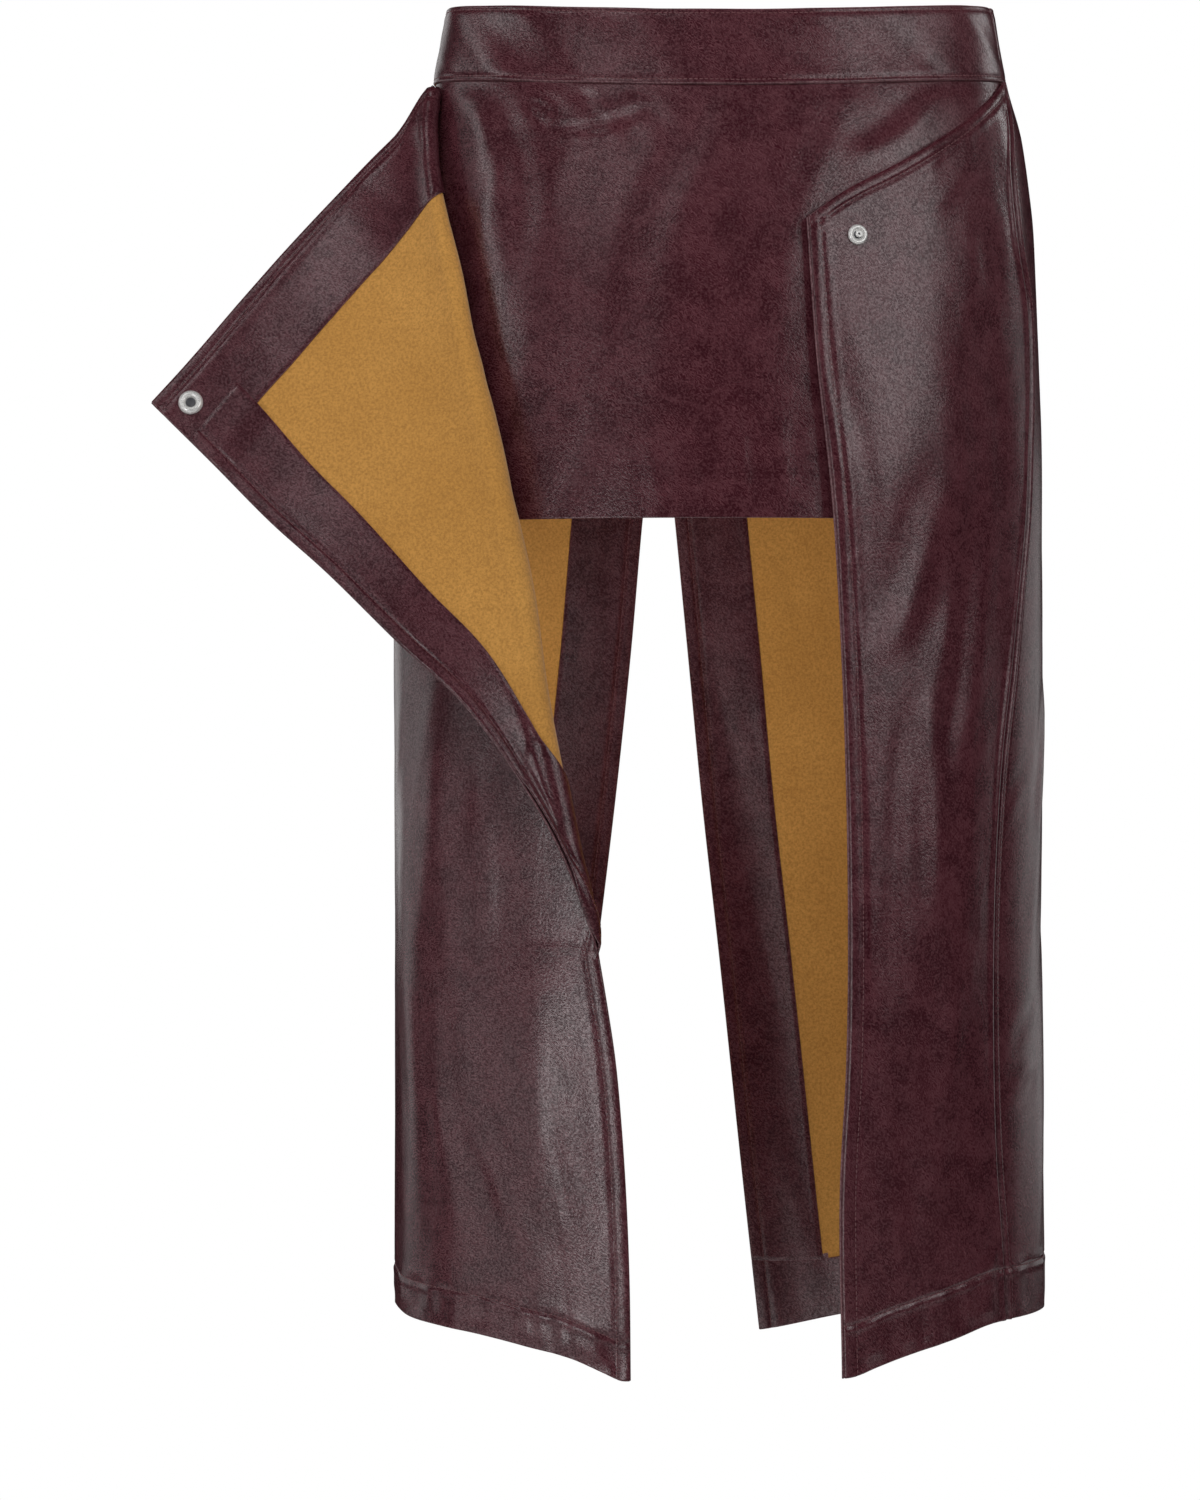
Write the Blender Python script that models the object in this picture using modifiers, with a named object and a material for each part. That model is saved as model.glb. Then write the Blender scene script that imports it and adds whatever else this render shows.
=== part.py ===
"""A leather wrap skirt, standing open as it is worn, on no wearer.

Frame: metres, +Z up, front towards -Y. The origin is the centre of the
waist opening, half way up the waistband. Angles go round the body in
degrees: 0 is the skirt's +X side, 90 the front, 180 the -X side, 270 the
back. A panel is a grid of points: its rows run down, its columns run
round with growing angle, so that its faces look outward.
"""

import math

import bmesh
import bpy
import numpy as np
from mathutils import Vector

# ---------------------------------------------------------------- sizes

NAME = "leather_skirt"

WALL = 0.0013                 # one layer of leather
FACING_WALL = 0.0011
BAND_WALL = 0.0030            # the folded waistband
SEAM_GAP = 0.0003             # between neighbouring pieces
LAYER_GAP = 0.0005            # between a panel and what lies on it
BAND_HALF = 0.0228            # half of the waistband's height
BAND_END_TRIM = 0.0005        # off each end of its two halves

APRON_INSET = -0.0016         # the apron lies inside the flaps
BAND_INSET = -0.0008
PANEL_LIFT = 0.0020           # outer panels stand off the form below the waist
PANEL_LIFT_DEPTH = 0.034      # and reach that lift this far below the band

APRON_HEM = -0.283
FACING_WIDTH = 0.045          # along a free edge
TOP_FACING = 0.045            # along a slanted top edge
HEM_SEAM_TRIM = 0.0006        # by which a hem allowance stops short of a side seam
FACING_PROUD = 0.0018         # the right flap's facing shows past its edge
TOP_OVERLAP_LIFT = FACING_WALL + LAYER_GAP

LEFT_SEAM = 187.0             # side seam on the -X side
APRON_LEFT_END = 174.0
LEFT_CORNER = 105.8           # angle of the left flap's lower corner
FACING_MIDDLE = 7.0           # degrees from an edge to its facing's middle
CORNER_ROUND = 0.10           # share of a cell by which a corner is drawn in
FOLD_FADE_FROM = 0.75         # share of the left flap's width where its folds die away
FOLD_FADE_HANGING = 0.5       # and how much of them is lost below the lapel

BAND_COLUMNS = 25             # grid sizes
APRON_ROWS = 13
APRON_COLUMNS = 19
PANEL_ROWS = 16
RIGHT_FLAP_COLUMNS = 9
RIGHT_FACING_COLUMNS = 3
BACK_LEFT_COLUMNS = 8
BACK_RIGHT_COLUMNS = 11
BACK_FACING_COLUMNS = 3
VENT_FACING_ROW = 6           # the row at which the slit's facings begin
CURVE_STEPS = 40              # of the fine lines that the left flap's rows are read from
HANGING_STEPS = 60

SNAP_GAP = 0.0004             # under a snap piece
STUD_BESIDE = (0.0888, -0.1390, -0.1130)      # a point straight out from the stud
STUD_BASE_BESIDE = (0.0783, -0.0985, -0.1172)
SOCKET_BESIDE = (-0.3152, -0.1040, -0.2071)
CAP_BEHIND = 0.020            # from the socket to a point behind the cap
STUD_RADIUS = 0.0060
SOCKET_RADIUS = 0.0074
SNAP_STEPS = 24

BURGUNDY = (0.060, 0.012, 0.016, 1.0)
TAN = (0.420, 0.255, 0.120, 1.0)
METAL = (0.430, 0.430, 0.450, 1.0)


class Table:
    """Sizes under named columns, read smoothly between the rows."""

    def __init__(self, names, rows):
        self.names = names.split()
        self.rows = np.array(rows, dtype=float)
        if self.rows[0, 0] > self.rows[-1, 0]:
            self.rows = self.rows[::-1]

    def __call__(self, name, at):
        key = self.rows[:, 0]
        value = self.rows[:, self.names.index(name)]
        at = np.clip(at, key[0], key[-1])
        slope = np.gradient(value, key)
        i = np.clip(np.searchsorted(key, at) - 1, 0, len(key) - 2)
        step = key[i + 1] - key[i]
        t = (at - key[i]) / step
        return ((1 + 2 * t) * (1 - t) ** 2 * value[i]
                + t * (1 - t) ** 2 * step * slope[i]
                + t * t * (3 - 2 * t) * value[i + 1]
                - t * t * (1 - t) * step * slope[i + 1])


# The hollow form that the skirt is worn on.
FORM = Table("height half_width front_depth back_depth", (
    (0.0320, 0.1655, 0.0895, 0.0885),
    (-0.0163, 0.1746, 0.0935, 0.0940),
    (-0.0395, 0.1795, 0.0975, 0.0990),
    (-0.0676, 0.1838, 0.1025, 0.1050),
    (-0.1048, 0.1882, 0.1070, 0.1110),
    (-0.1420, 0.1902, 0.1100, 0.1150),
    (-0.1980, 0.1922, 0.1125, 0.1175),
    (-0.2350, 0.1934, 0.1140, 0.1185),
    (-0.3000, 0.1940, 0.1150, 0.1190),
    (-0.5500, 0.1940, 0.1160, 0.1195),
    (-0.8000, 0.1940, 0.1165, 0.1195),
))

# The wavy side seam on the +X side.
RIGHT_SEAM = Table("height angle", (
    (0.0350, 9.0),
    (-0.0200, 13.0),
    (-0.0700, 20.0),
    (-0.1090, 20.5),
    (-0.1540, 15.5),
    (-0.2000, 16.0),
    (-0.2400, 18.5),
    (-0.2750, 20.0),
    (-0.3240, 24.0),
    (-0.3730, 27.5),
    (-0.4200, 31.0),
    (-0.4700, 33.2),
    (-0.6000, 34.3),
    (-0.6600, 33.2),
    (-0.7260, 30.5),
    (-0.7620, 29.5),
))

# The right flap: its slanted top edge, and its free edge down the front.
RIGHT_TOP = Table("angle height", (
    (13.0, -0.0165),
    (21.0, -0.0250),
    (40.0, -0.0490),
    (56.0, -0.0720),
    (69.0, -0.0925),
    (75.0, -0.1060),
))
RIGHT_EDGE = Table("height angle lift", (
    (-0.1060, 74.8, 0.0045),
    (-0.1880, 73.5, 0.0055),
    (-0.2840, 70.7, 0.0065),
    (-0.3700, 69.2, 0.0070),
    (-0.5100, 68.2, 0.0075),
    (-0.6130, 68.6, 0.0075),
    (-0.6700, 69.5, 0.0075),
    (-0.7900, 69.2, 0.0080),
))
FLAP_LIFT_REACH = 46.0        # degrees from the free edge in which a flap lifts

# The left flap above the point where its fold ends: where the roll starts on
# the flap, its radius, where the folded-out free edge hangs, and how wide the
# facing inside that edge is.
LAPEL = Table("down roll_angle roll_height roll_lift roll_radius edge_x edge_y edge_z ease facing", (
    (0.00, 165.3, -0.0245, 0.0012, 0.0028, -0.3394, -0.0780, -0.2136, 0.05, 0.0450),
    (0.12, 151.9, -0.0880, 0.0040, 0.0048, -0.3035, -0.0860, -0.2489, 0.10, 0.0445),
    (0.25, 143.9, -0.1384, 0.0050, 0.0068, -0.2665, -0.0980, -0.2860, 0.15, 0.0425),
    (0.36, 137.0, -0.1995, 0.0065, 0.0085, -0.2342, -0.1120, -0.3147, 0.20, 0.0400),
    (0.50, 129.8, -0.2740, 0.0080, 0.0095, -0.1898, -0.1280, -0.3581, 0.24, 0.0375),
    (0.63, 124.8, -0.3430, 0.0100, 0.0090, -0.1519, -0.1340, -0.3938, 0.28, 0.0360),
    (0.76, 120.9, -0.4130, 0.0115, 0.0080, -0.1171, -0.1360, -0.4411, 0.30, 0.0350),
    (0.88, 116.5, -0.4760, 0.0125, 0.0060, -0.0935, -0.1330, -0.4841, 0.30, 0.0350),
    (1.00, 112.0, -0.5364, 0.0130, 0.0050, -0.0747, -0.1250, -0.5364, 0.30, 0.0350),
))
FOLD_END_HEIGHT = -0.5364     # on the free edge
FOLD_END_SIDE = -0.5230       # the same row at the side seam
UNROLL_SHARE = 0.22           # of the roll's length, over which it opens flat
LEFT_EDGE = Table("height angle lift", (
    (-0.5364, 111.6, 0.0130),
    (-0.5670, 110.0, 0.0140),
    (-0.6020, 108.4, 0.0145),
    (-0.6420, 107.3, 0.0145),
    (-0.6860, 106.5, 0.0140),
    (-0.7310, 106.0, 0.0140),
    (-0.7890, 105.8, 0.0140),
))

# The seam up the back, and half the angle by which it opens as a slit below.
SLIT = Table("height centre half_open", (
    (0.0350, 266.2, 0.0),
    (-0.0200, 265.6, 0.0),
    (-0.1000, 262.8, 0.0),
    (-0.1760, 259.8, 0.0),
    (-0.2250, 259.4, 1.6),
    (-0.2730, 259.4, 3.1),
    (-0.3594, 259.5, 5.5),
    (-0.4453, 259.3, 8.1),
    (-0.5500, 259.0, 11.8),
    (-0.7014, 258.2, 17.3),
    (-0.7900, 257.7, 20.7),
))


def slit_edge(side, height):
    """Angle of the slit's edge, side -1 or 1."""
    return SLIT("centre", height) + side * max(SLIT("half_open", height), 0.0)


# Height of each hem, round the body.
# Depth of each panel's hem allowance, from its first column to its facing
# and its last column.
HEM_DEPTH = Table("share right_flap left_flap back_left back_right", (
    (0.0, 0.0325, 0.0245, 0.0245, 0.0435),
    (1.0, 0.0325, 0.0245, 0.0390, 0.0355),
    (2.0, 0.0325, 0.0245, 0.0435, 0.0325),
))
LEFT_HEM = Table("angle height", (
    (105.0, -0.7892),
    (107.5, -0.7890),
    (110.0, -0.7854),
    (115.6, -0.7777),
    (124.7, -0.7711),
    (136.4, -0.7655),
    (147.0, -0.7630),
    (161.0, -0.7603),
    (173.0, -0.7562),
    (187.0, -0.7545),
))
RIGHT_HEM = Table("angle height", (
    (29.0, -0.7606),
    (36.0, -0.7622),
    (46.0, -0.7685),
    (56.6, -0.7764),
    (63.0, -0.7826),
    (67.5, -0.7878),
    (70.0, -0.7890),
))
BACK_HEM = Table("angle height", (
    (187.0, -0.7545),
    (200.0, -0.7580),
    (215.0, -0.7650),
    (228.0, -0.7752),
    (237.0, -0.7857),
    (278.4, -0.7857),
    (293.0, -0.7756),
    (312.0, -0.7655),
    (330.0, -0.7600),
    (360.0, -0.7575),
    (375.0, -0.7590),
    (389.5, -0.7606),
))

# Largest soft folds: ridges that stand out from a panel. The centre moves by
# slant degrees for each metre down.
FOLDS = {
    "front_apron": (
        # angle, half_width, height, top, bottom, slant
        (118.0, 9.0, 0.0016, -0.050, -0.250, 60.0),
        (80.0, 12.0, 0.0012, -0.060, -0.270, 20.0),
    ),
    "right_flap": (
        (58.0, 12.0, 0.0050, -0.120, -0.340, -15.0),
        (49.0, 9.0, 0.0048, -0.320, -0.700, 10.0),
        (62.5, 5.5, 0.0030, -0.400, -0.760, -4.0),
    ),
    "left_flap": (
        (157.0, 8.0, 0.0045, -0.360, -0.750, -6.0),
        (143.0, 7.0, 0.0032, -0.300, -0.640, -30.0),
        (122.0, 7.0, 0.0045, -0.500, -0.760, -20.0),
    ),
    "back_left": (
        (209.0, 8.0, 0.0045, -0.200, -0.700, 10.0),
        (228.0, 8.0, 0.0040, -0.300, -0.740, -18.0),
        (240.0, 9.0, 0.0035, -0.060, -0.240, 30.0),
    ),
    "back_right": (
        (300.0, 9.0, 0.0045, -0.280, -0.740, 20.0),
        (328.0, 9.0, 0.0055, -0.200, -0.700, -8.0),
        (288.0, 9.0, 0.0035, -0.060, -0.240, -30.0),
        (342.0, 6.0, 0.0030, -0.330, -0.620, -12.0),
    ),
}


# ------------------------------------------------------------- geometry

def smooth(t):
    t = min(max(t, 0.0), 1.0)
    return t * t * (3.0 - 2.0 * t)


def unit(v):
    return v / np.linalg.norm(v)


def on_form(angle, height, out=0.0):
    """A point of the form, moved out along its level normal."""
    half_width = FORM("half_width", height)
    c = math.cos(math.radians(angle))
    s = math.sin(math.radians(angle))
    depth = FORM("front_depth" if s >= 0 else "back_depth", height)
    normal = unit(np.array((c / half_width, -s / depth, 0.0)))
    return np.array((half_width * c, -depth * s, height)) + out * normal


def form_normal(angle, height):
    return unit(on_form(angle, height, 0.01) - on_form(angle, height))


def degrees_for(length, angle, height):
    """The angle that a length takes on the form's girth."""
    a = on_form(angle - 0.5, height)
    b = on_form(angle + 0.5, height)
    return length / np.linalg.norm(b - a)


def waist_dip(angle):
    """Height of the waistband's middle line."""
    s = math.sin(math.radians(angle))
    return 0.0077 - (0.0111 if s > 0 else 0.0060) * s * s


def under_band(angle):
    return waist_dip(angle) - BAND_HALF - SEAM_GAP


def panel_lift(height):
    return PANEL_LIFT * smooth((-0.018 - height) / PANEL_LIFT_DEPTH)


def fold_lift(panel, angle, height):
    """How far the soft folds of a panel stand out at a place."""
    out = 0.0
    for centre, half_width, tall, top, bottom, slant in FOLDS[panel]:
        middle = 0.5 * (top + bottom)
        off = (angle - centre - slant * (middle - height)) / half_width
        along = (height - middle) / (0.5 * (top - bottom))
        if abs(off) < 2.0 and abs(along) < 1.0:
            round_part = math.cos(0.25 * math.pi * off) ** 2
            out += tall * round_part * (1.0 - along * along) ** 2
    return out


def grid_bmesh(points):
    rows, columns = points.shape[:2]
    bm = bmesh.new()
    bmesh.ops.create_grid(bm, x_segments=columns - 1, y_segments=rows - 1, size=1.0)
    bm.verts.ensure_lookup_table()
    for index, vert in enumerate(bm.verts):
        vert.co = Vector(points[index // columns, index % columns])
    bm.normal_update()
    return bm


def grid_normals(points):
    """Outward normals of a grid of points."""
    bm = grid_bmesh(points)
    normals = np.array([vert.normal for vert in bm.verts])
    bm.free()
    return normals.reshape(points.shape)


def moved_out(points, amount):
    """A copy of a grid, moved along its normals. Amount may differ by row."""
    amount = np.broadcast_to(np.asarray(amount, dtype=float), points.shape[:1])
    return points + grid_normals(points) * amount[:, None, None]


def trimmed(points, top=0.0, bottom=0.0, first=0.0, last=0.0):
    """Shorten (or, below zero, lengthen) a grid at its four sides."""
    points = points.copy()

    def pull(line, towards, length):
        step = towards - line
        return line + step * (length / np.linalg.norm(step, axis=1, keepdims=True))

    if top:
        points[0] = pull(points[0], points[1], top)
    if bottom:
        points[-1] = pull(points[-1], points[-2], bottom)
    if first:
        points[:, 0] = pull(points[:, 0], points[:, 1], first)
    if last:
        points[:, -1] = pull(points[:, -1], points[:, -2], last)
    return points


def rounded_corner(points, row, column):
    """Draw one corner of a grid in, as a small round."""
    inner_row = 1 if row == 0 else -2
    inner_column = 1 if column == 0 else -2
    inner = points[inner_row, inner_column]
    points[row, column] += (inner - points[row, column]) * CORNER_ROUND


def spread(start, end, count):
    return list(np.linspace(start, end, count))


# --------------------------------------------------------------- panels

def hung_panel(name, shares, column_angle, top, hem, out, top_band=None):
    """A panel that follows the form.

    shares: places across, 0 to 1. column_angle(share, height) is the angle
    there. top(angle) and hem(angle) are the panel's ends. top_band is the
    depth of a facing under the top edge, whose rows are kept level with it.
    """
    rows = []
    upper = [0.0, 0.5, 1.0] if top_band else [0.0]
    for share in shares:
        line = []
        top_height = top(column_angle(share, -0.02))
        for _ in range(3):
            top_height = top(column_angle(share, top_height))
        hem_height = hem(column_angle(share, -0.76))
        start = top_height - (top_band or 0.0)
        depth = HEM_DEPTH(name, share)
        end = hem_height + depth
        heights = [top_height - (top_band or 0.0) * step for step in upper]
        heights += spread(start, end, PANEL_ROWS + 1)[1:]
        heights += [hem_height + depth * 0.5, hem_height]
        for height in heights:
            angle = column_angle(share, height)
            lift = out(angle, height) + fold_lift(name, angle, height)
            line.append(on_form(angle, height, lift))
        rows.append(line)
    return np.array(rows).transpose(1, 0, 2)


def band_grid(start, end, columns):
    rows = []
    for step in (1.0, 0.0, -1.0):
        rows.append([
            on_form(angle, waist_dip(angle) + BAND_HALF * step, BAND_INSET)
            for angle in spread(start, end, columns)])
    return np.array(rows)


def apron_grid():
    rows = []
    for down in spread(0.0, 1.0, APRON_ROWS):
        line = []
        for share in spread(0.0, 1.0, APRON_COLUMNS):
            first = RIGHT_SEAM("angle", -0.25 * down) + 1.5
            angle = first + (APRON_LEFT_END - first) * share
            top = under_band(angle)
            height = top + (APRON_HEM - top) * down
            lift = APRON_INSET + fold_lift("front_apron", angle, height)
            line.append(on_form(angle, height, lift))
        rows.append(line)
    return np.array(rows)


def right_flap_grid():
    def edge(height):
        return RIGHT_EDGE("angle", height)

    def column_angle(share, height):
        """Even columns, then the facing's at fixed distances from the edge."""
        seam = RIGHT_SEAM("angle", height)
        facing = degrees_for(FACING_WIDTH, edge(height) - FACING_MIDDLE, height)
        if share <= 1.0:
            return seam + (edge(height) - facing - seam) * share
        return edge(height) - facing * (2.0 - share)

    def out(angle, height):
        near = 1.0 - (edge(height) - angle) / FLAP_LIFT_REACH
        return panel_lift(height) + RIGHT_EDGE("lift", height) * smooth(near)

    def top(angle):
        return min(RIGHT_TOP("height", angle), under_band(angle))

    shares = spread(0.0, 1.0, RIGHT_FLAP_COLUMNS)
    shares += spread(1.0, 2.0, RIGHT_FACING_COLUMNS + 1)[1:]
    points = hung_panel("right_flap", shares, column_angle, top,
                        lambda a: RIGHT_HEM("height", a), out, TOP_FACING)
    rounded_corner(points, 0, -1)
    rounded_corner(points, -1, -1)
    return trimmed(points, first=SEAM_GAP / 2)


def back_out(_, height):
    return panel_lift(height)


def back_top(angle):
    return under_band(angle)


def back_left_grid():
    def column_angle(share, height):
        edge = slit_edge(-1, height)
        facing = degrees_for(FACING_WIDTH, edge - FACING_MIDDLE, height)
        if share <= 1.0:
            return LEFT_SEAM + (edge - facing - LEFT_SEAM) * share
        return edge - facing * (2.0 - share)

    shares = spread(0.0, 1.0, BACK_LEFT_COLUMNS)
    shares += spread(1.0, 2.0, BACK_FACING_COLUMNS + 1)[1:]
    points = hung_panel("back_left", shares, column_angle, back_top,
                        lambda a: BACK_HEM("height", a), back_out, TOP_FACING)
    return trimmed(points, first=SEAM_GAP / 2, last=SEAM_GAP / 2)


def back_right_grid():
    def column_angle(share, height):
        edge = slit_edge(1, height)
        facing = degrees_for(FACING_WIDTH, edge + FACING_MIDDLE, height)
        seam = 360.0 + RIGHT_SEAM("angle", height)
        if share <= 1.0:
            return edge + facing * share
        return edge + facing + (seam - edge - facing) * (share - 1.0)

    shares = spread(0.0, 1.0, BACK_FACING_COLUMNS + 1)
    shares += spread(1.0, 2.0, BACK_RIGHT_COLUMNS)[1:]
    points = hung_panel("back_right", shares, column_angle, back_top,
                        lambda a: BACK_HEM("height", a), back_out, TOP_FACING)
    return trimmed(points, first=SEAM_GAP / 2, last=SEAM_GAP / 2)


# The left flap, a sheet whose upper corner is folded outward.

LEFT_FACING_COLUMNS = 8
LAPEL_COLUMNS = 5
ROLL_COLUMNS = 6
BODY_COLUMNS = 9
LAPEL_LEAST = 0.012           # least width of the strips between the facing and the body
ROLL_LEAST = 0.018
TOP_FACING_DOWNS = [0.0, 0.040, 0.078, 0.120]
LEFT_TOP_ROWS = len(TOP_FACING_DOWNS) - 1
LAPEL_FROM = 0.16
LAPEL_TO = 0.76
LAPEL_ROWS = 12
UNROLL_DOWNS = [0.79, 0.82, 0.85, 0.88, 0.91, 0.94, 0.96, 0.98, 1.0]
UNROLL_EASE = 0.0008          # extra room for the facing where the roll opens
LEFT_HEM_ROWS = 2


# By how much of the roll's length the folded-out part is drawn down, at
# distances from the free edge: its top edge, and the top facing's end.
LAPEL_DRAWN = Table("distance top end", (
    (0.000, 0.0000, 0.0000),
    (0.030, 0.0015, 0.0000),
    (0.045, 0.0015, 0.0011),
    (0.080, 0.0000, 0.0068),
    (0.120, 0.0000, 0.0137),
    (0.160, 0.0033, 0.0202),
    (0.180, 0.0063, 0.0224),
    (0.196, 0.0088, 0.0221),
    (0.210, 0.0114, 0.0145),
    (0.221, 0.0143, 0.0000),
    (0.232, 0.0165, 0.0000),
    (0.240, 0.0136, 0.0000),
    (0.256, 0.0000, 0.0000),
    (0.300, 0.0000, 0.0000),
))
DRAWN_REACH = 0.20            # share of the roll below the facing over which it fades


def roll_frame(down):
    """The roll's start, the way across it towards the front, and outward."""
    def start(at):
        height = LAPEL("roll_height", at)
        return on_form(LAPEL("roll_angle", at), height,
                       panel_lift(height) + LAPEL("roll_lift", at))

    before = max(down - 0.01, 0.0)
    after = min(down + 0.01, 1.0)
    along = unit(start(after) - start(before))
    outward = form_normal(LAPEL("roll_angle", down), LAPEL("roll_height", down))
    across = unit(np.cross(along, outward))
    outward = unit(np.cross(across, along))
    if across[0] < 0:
        across = -across
    if outward[1] > 0:
        outward = -outward
    return start(down), across, outward


def fold_fade(share, lost):
    """What is left of the soft folds towards the front end of a row."""
    return 1.0 - lost * smooth((share - FOLD_FADE_FROM) / (1.0 - FOLD_FADE_FROM))


def flap_body_line(end_angle, side_height, end_height, end_lift):
    """One row of the left flap on the form, from the side seam forward."""
    lost = 1.0 if end_height > FOLD_END_HEIGHT else FOLD_FADE_HANGING
    line = []
    for share in spread(0.0, 1.0, CURVE_STEPS):
        angle = LEFT_SEAM + (end_angle - LEFT_SEAM) * share
        height = side_height + (end_height - side_height) * share
        fold = fold_fade(share, lost) * fold_lift("left_flap", angle, height)
        lift = panel_lift(height) + end_lift * smooth(share)
        line.append(on_form(angle, height, lift + fold))
    return line


def left_row_folded(down):
    """Points of a row above the fold's end, side seam to free edge, and the
    number of points on the body and on the roll."""
    top_side = under_band(LEFT_SEAM)
    side_height = top_side + (FOLD_END_SIDE - top_side) * down
    start, across, outward = roll_frame(down)
    body = flap_body_line(LAPEL("roll_angle", down), side_height, start[2],
                          LAPEL("roll_lift", down))
    opened = min((1.0 - down) / UNROLL_SHARE, 1.0)
    turn = math.pi * (1.0 - (1.0 - opened) ** 3)
    radius = LAPEL("roll_radius", down)
    roll = []
    for angle in spread(0.0, turn, 25)[1:]:
        roll.append(start + radius * (math.sin(angle) * across
                                      + (1.0 - math.cos(angle)) * outward))
    leaving = math.cos(turn) * across + math.sin(turn) * outward
    begin = roll[-1] if turn > 0 else start
    edge = np.array((LAPEL("edge_x", down), LAPEL("edge_y", down), LAPEL("edge_z", down)))
    reach = np.linalg.norm(edge - begin)
    lapel = []
    if reach > 1e-6:
        first = begin + leaving * reach * LAPEL("ease", down)
        second = edge - unit(edge - first) * reach / 3
        for t in spread(0.0, 1.0, CURVE_STEPS)[1:]:
            lapel.append((1 - t) ** 3 * begin + 3 * t * (1 - t) ** 2 * first
                         + 3 * t * t * (1 - t) * second + t ** 3 * edge)
    return body + roll + lapel, len(body), len(roll)


def left_row_hanging(share):
    """Points of a row below the fold's end; share runs down to the hem."""
    side = FOLD_END_SIDE + (LEFT_HEM("height", LEFT_SEAM) - FOLD_END_SIDE) * share
    hem = LEFT_HEM("height", LEFT_CORNER)
    end = FOLD_END_HEIGHT + (hem - FOLD_END_HEIGHT) * share
    end_angle = LEFT_EDGE("angle", end)
    line = []
    for t in spread(0.0, 1.0, HANGING_STEPS):
        angle = LEFT_SEAM + (end_angle - LEFT_SEAM) * t
        above = FOLD_END_SIDE + (FOLD_END_HEIGHT - FOLD_END_SIDE) * t
        height = above + (LEFT_HEM("height", angle) - above) * share
        lift = panel_lift(height) + LEFT_EDGE("lift", end) * smooth(t)
        fold = fold_fade(t, FOLD_FADE_HANGING) * fold_lift("left_flap", angle, height)
        line.append(on_form(angle, height, lift + fold))
    return line, len(line), 0


def row_lengths(line):
    steps = np.linalg.norm(np.diff(np.array(line), axis=0), axis=1)
    return np.concatenate(([0.0], np.cumsum(steps)))


def at_distance_from_edge(line, lengths, distance):
    place = lengths[-1] - distance
    return np.array([np.interp(place, lengths, np.array(line)[:, k]) for k in range(3)])


def left_flap_columns(line, body, roll, facing):
    """Distances from the free edge of one row's columns."""
    lengths = row_lengths(line)
    total = lengths[-1]
    roll_start = total - lengths[body - 1]
    roll_end = total - lengths[body - 1 + roll]
    lapel_end = max(roll_end, facing + LAPEL_LEAST)
    body_start = max(roll_start, lapel_end + ROLL_LEAST)
    distances = spread(0.0, facing, LEFT_FACING_COLUMNS + 1)
    distances += spread(facing, lapel_end, LAPEL_COLUMNS + 1)[1:]
    distances += spread(lapel_end, body_start, ROLL_COLUMNS + 1)[1:]
    distances += spread(body_start, total, BODY_COLUMNS + 1)[1:]
    return lengths, distances


def lowered(points, downs, distances):
    """Draw the rows about the top facing's end and the top edge down towards
    the roll, so that the facing ends in a straight line."""
    lower = points.copy()
    for row, down in enumerate(downs):
        near = down / TOP_FACING_DOWNS[-1]
        above = max(1.0 - near, 0.0)
        if near > 1.0:
            near = 1.0 - smooth((down - TOP_FACING_DOWNS[-1]) / DRAWN_REACH)
        for column, distance in enumerate(distances[row]):
            at = down + near * LAPEL_DRAWN("end", distance)
            at += above * LAPEL_DRAWN("top", distance)
            for k in range(3):
                lower[row, column, k] = np.interp(at, downs, points[:len(downs), column, k])
    return lower


def left_flap_grid():
    folded = TOP_FACING_DOWNS + spread(LAPEL_FROM, LAPEL_TO, LAPEL_ROWS) + UNROLL_DOWNS
    hanging_length = FOLD_END_HEIGHT - LEFT_HEM("height", LEFT_CORNER)
    hem_share = 1.0 - HEM_DEPTH("left_flap", 0.0) / hanging_length
    hanging = spread(0.0, hem_share, 10)[1:] + spread(hem_share, 1.0, LEFT_HEM_ROWS + 1)[1:]
    lines = [left_row_folded(down) + (LAPEL("facing", down),) for down in folded]
    lines += [left_row_hanging(share) + (LAPEL("facing", 1.0),) for share in hanging]
    rows = []
    places = []
    for line, body, roll, facing in lines:
        lengths, distances = left_flap_columns(line, body, roll, facing)
        rows.append([at_distance_from_edge(line, lengths, d) for d in distances])
        places.append(distances)
    points = lowered(np.array(rows), folded, places)
    rounded_corner(points, 0, 0)
    rounded_corner(points, -1, 0)
    return trimmed(points, last=SEAM_GAP / 2)


# -------------------------------------------------------------- objects

def material(name, colour, roughness, metallic=0.0):
    made = bpy.data.materials.new(name)
    made.use_nodes = True
    shader = made.node_tree.nodes["Principled BSDF"]
    shader.inputs["Base Color"].default_value = colour
    shader.inputs["Roughness"].default_value = roughness
    shader.inputs["Metallic"].default_value = metallic
    made.diffuse_color = colour
    return made


def burgundy_leather(name):
    return material(name + "_burgundy", BURGUNDY, 0.32)


def tan_suede(name):
    return material(name + "_tan", TAN, 0.85)


def snap_metal(name):
    return material(name + "_metal", METAL, 0.28, 1.0)


def sheet_object(name, points, wall, collection, outside, inside):
    """A wall of leather whose middle surface is the grid."""
    bm = grid_bmesh(points)
    mesh = bpy.data.meshes.new(name)
    bm.to_mesh(mesh)
    bm.free()
    mesh.shade_smooth()
    made = bpy.data.objects.new(name, mesh)
    made.data.materials.append(outside(name))
    made.data.materials.append(inside(name))
    shell = made.modifiers.new("Wall", "SOLIDIFY")
    shell.thickness = wall
    shell.offset = 0.0
    shell.material_offset = 1
    collection.objects.link(made)
    return made


def lining_grid(points, extra=0.0):
    """A panel's grid moved inside, for the facings and hem that lie there."""
    depth = WALL / 2 + LAYER_GAP + FACING_WALL / 2
    return moved_out(points, -(depth + np.asarray(extra)))


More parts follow.
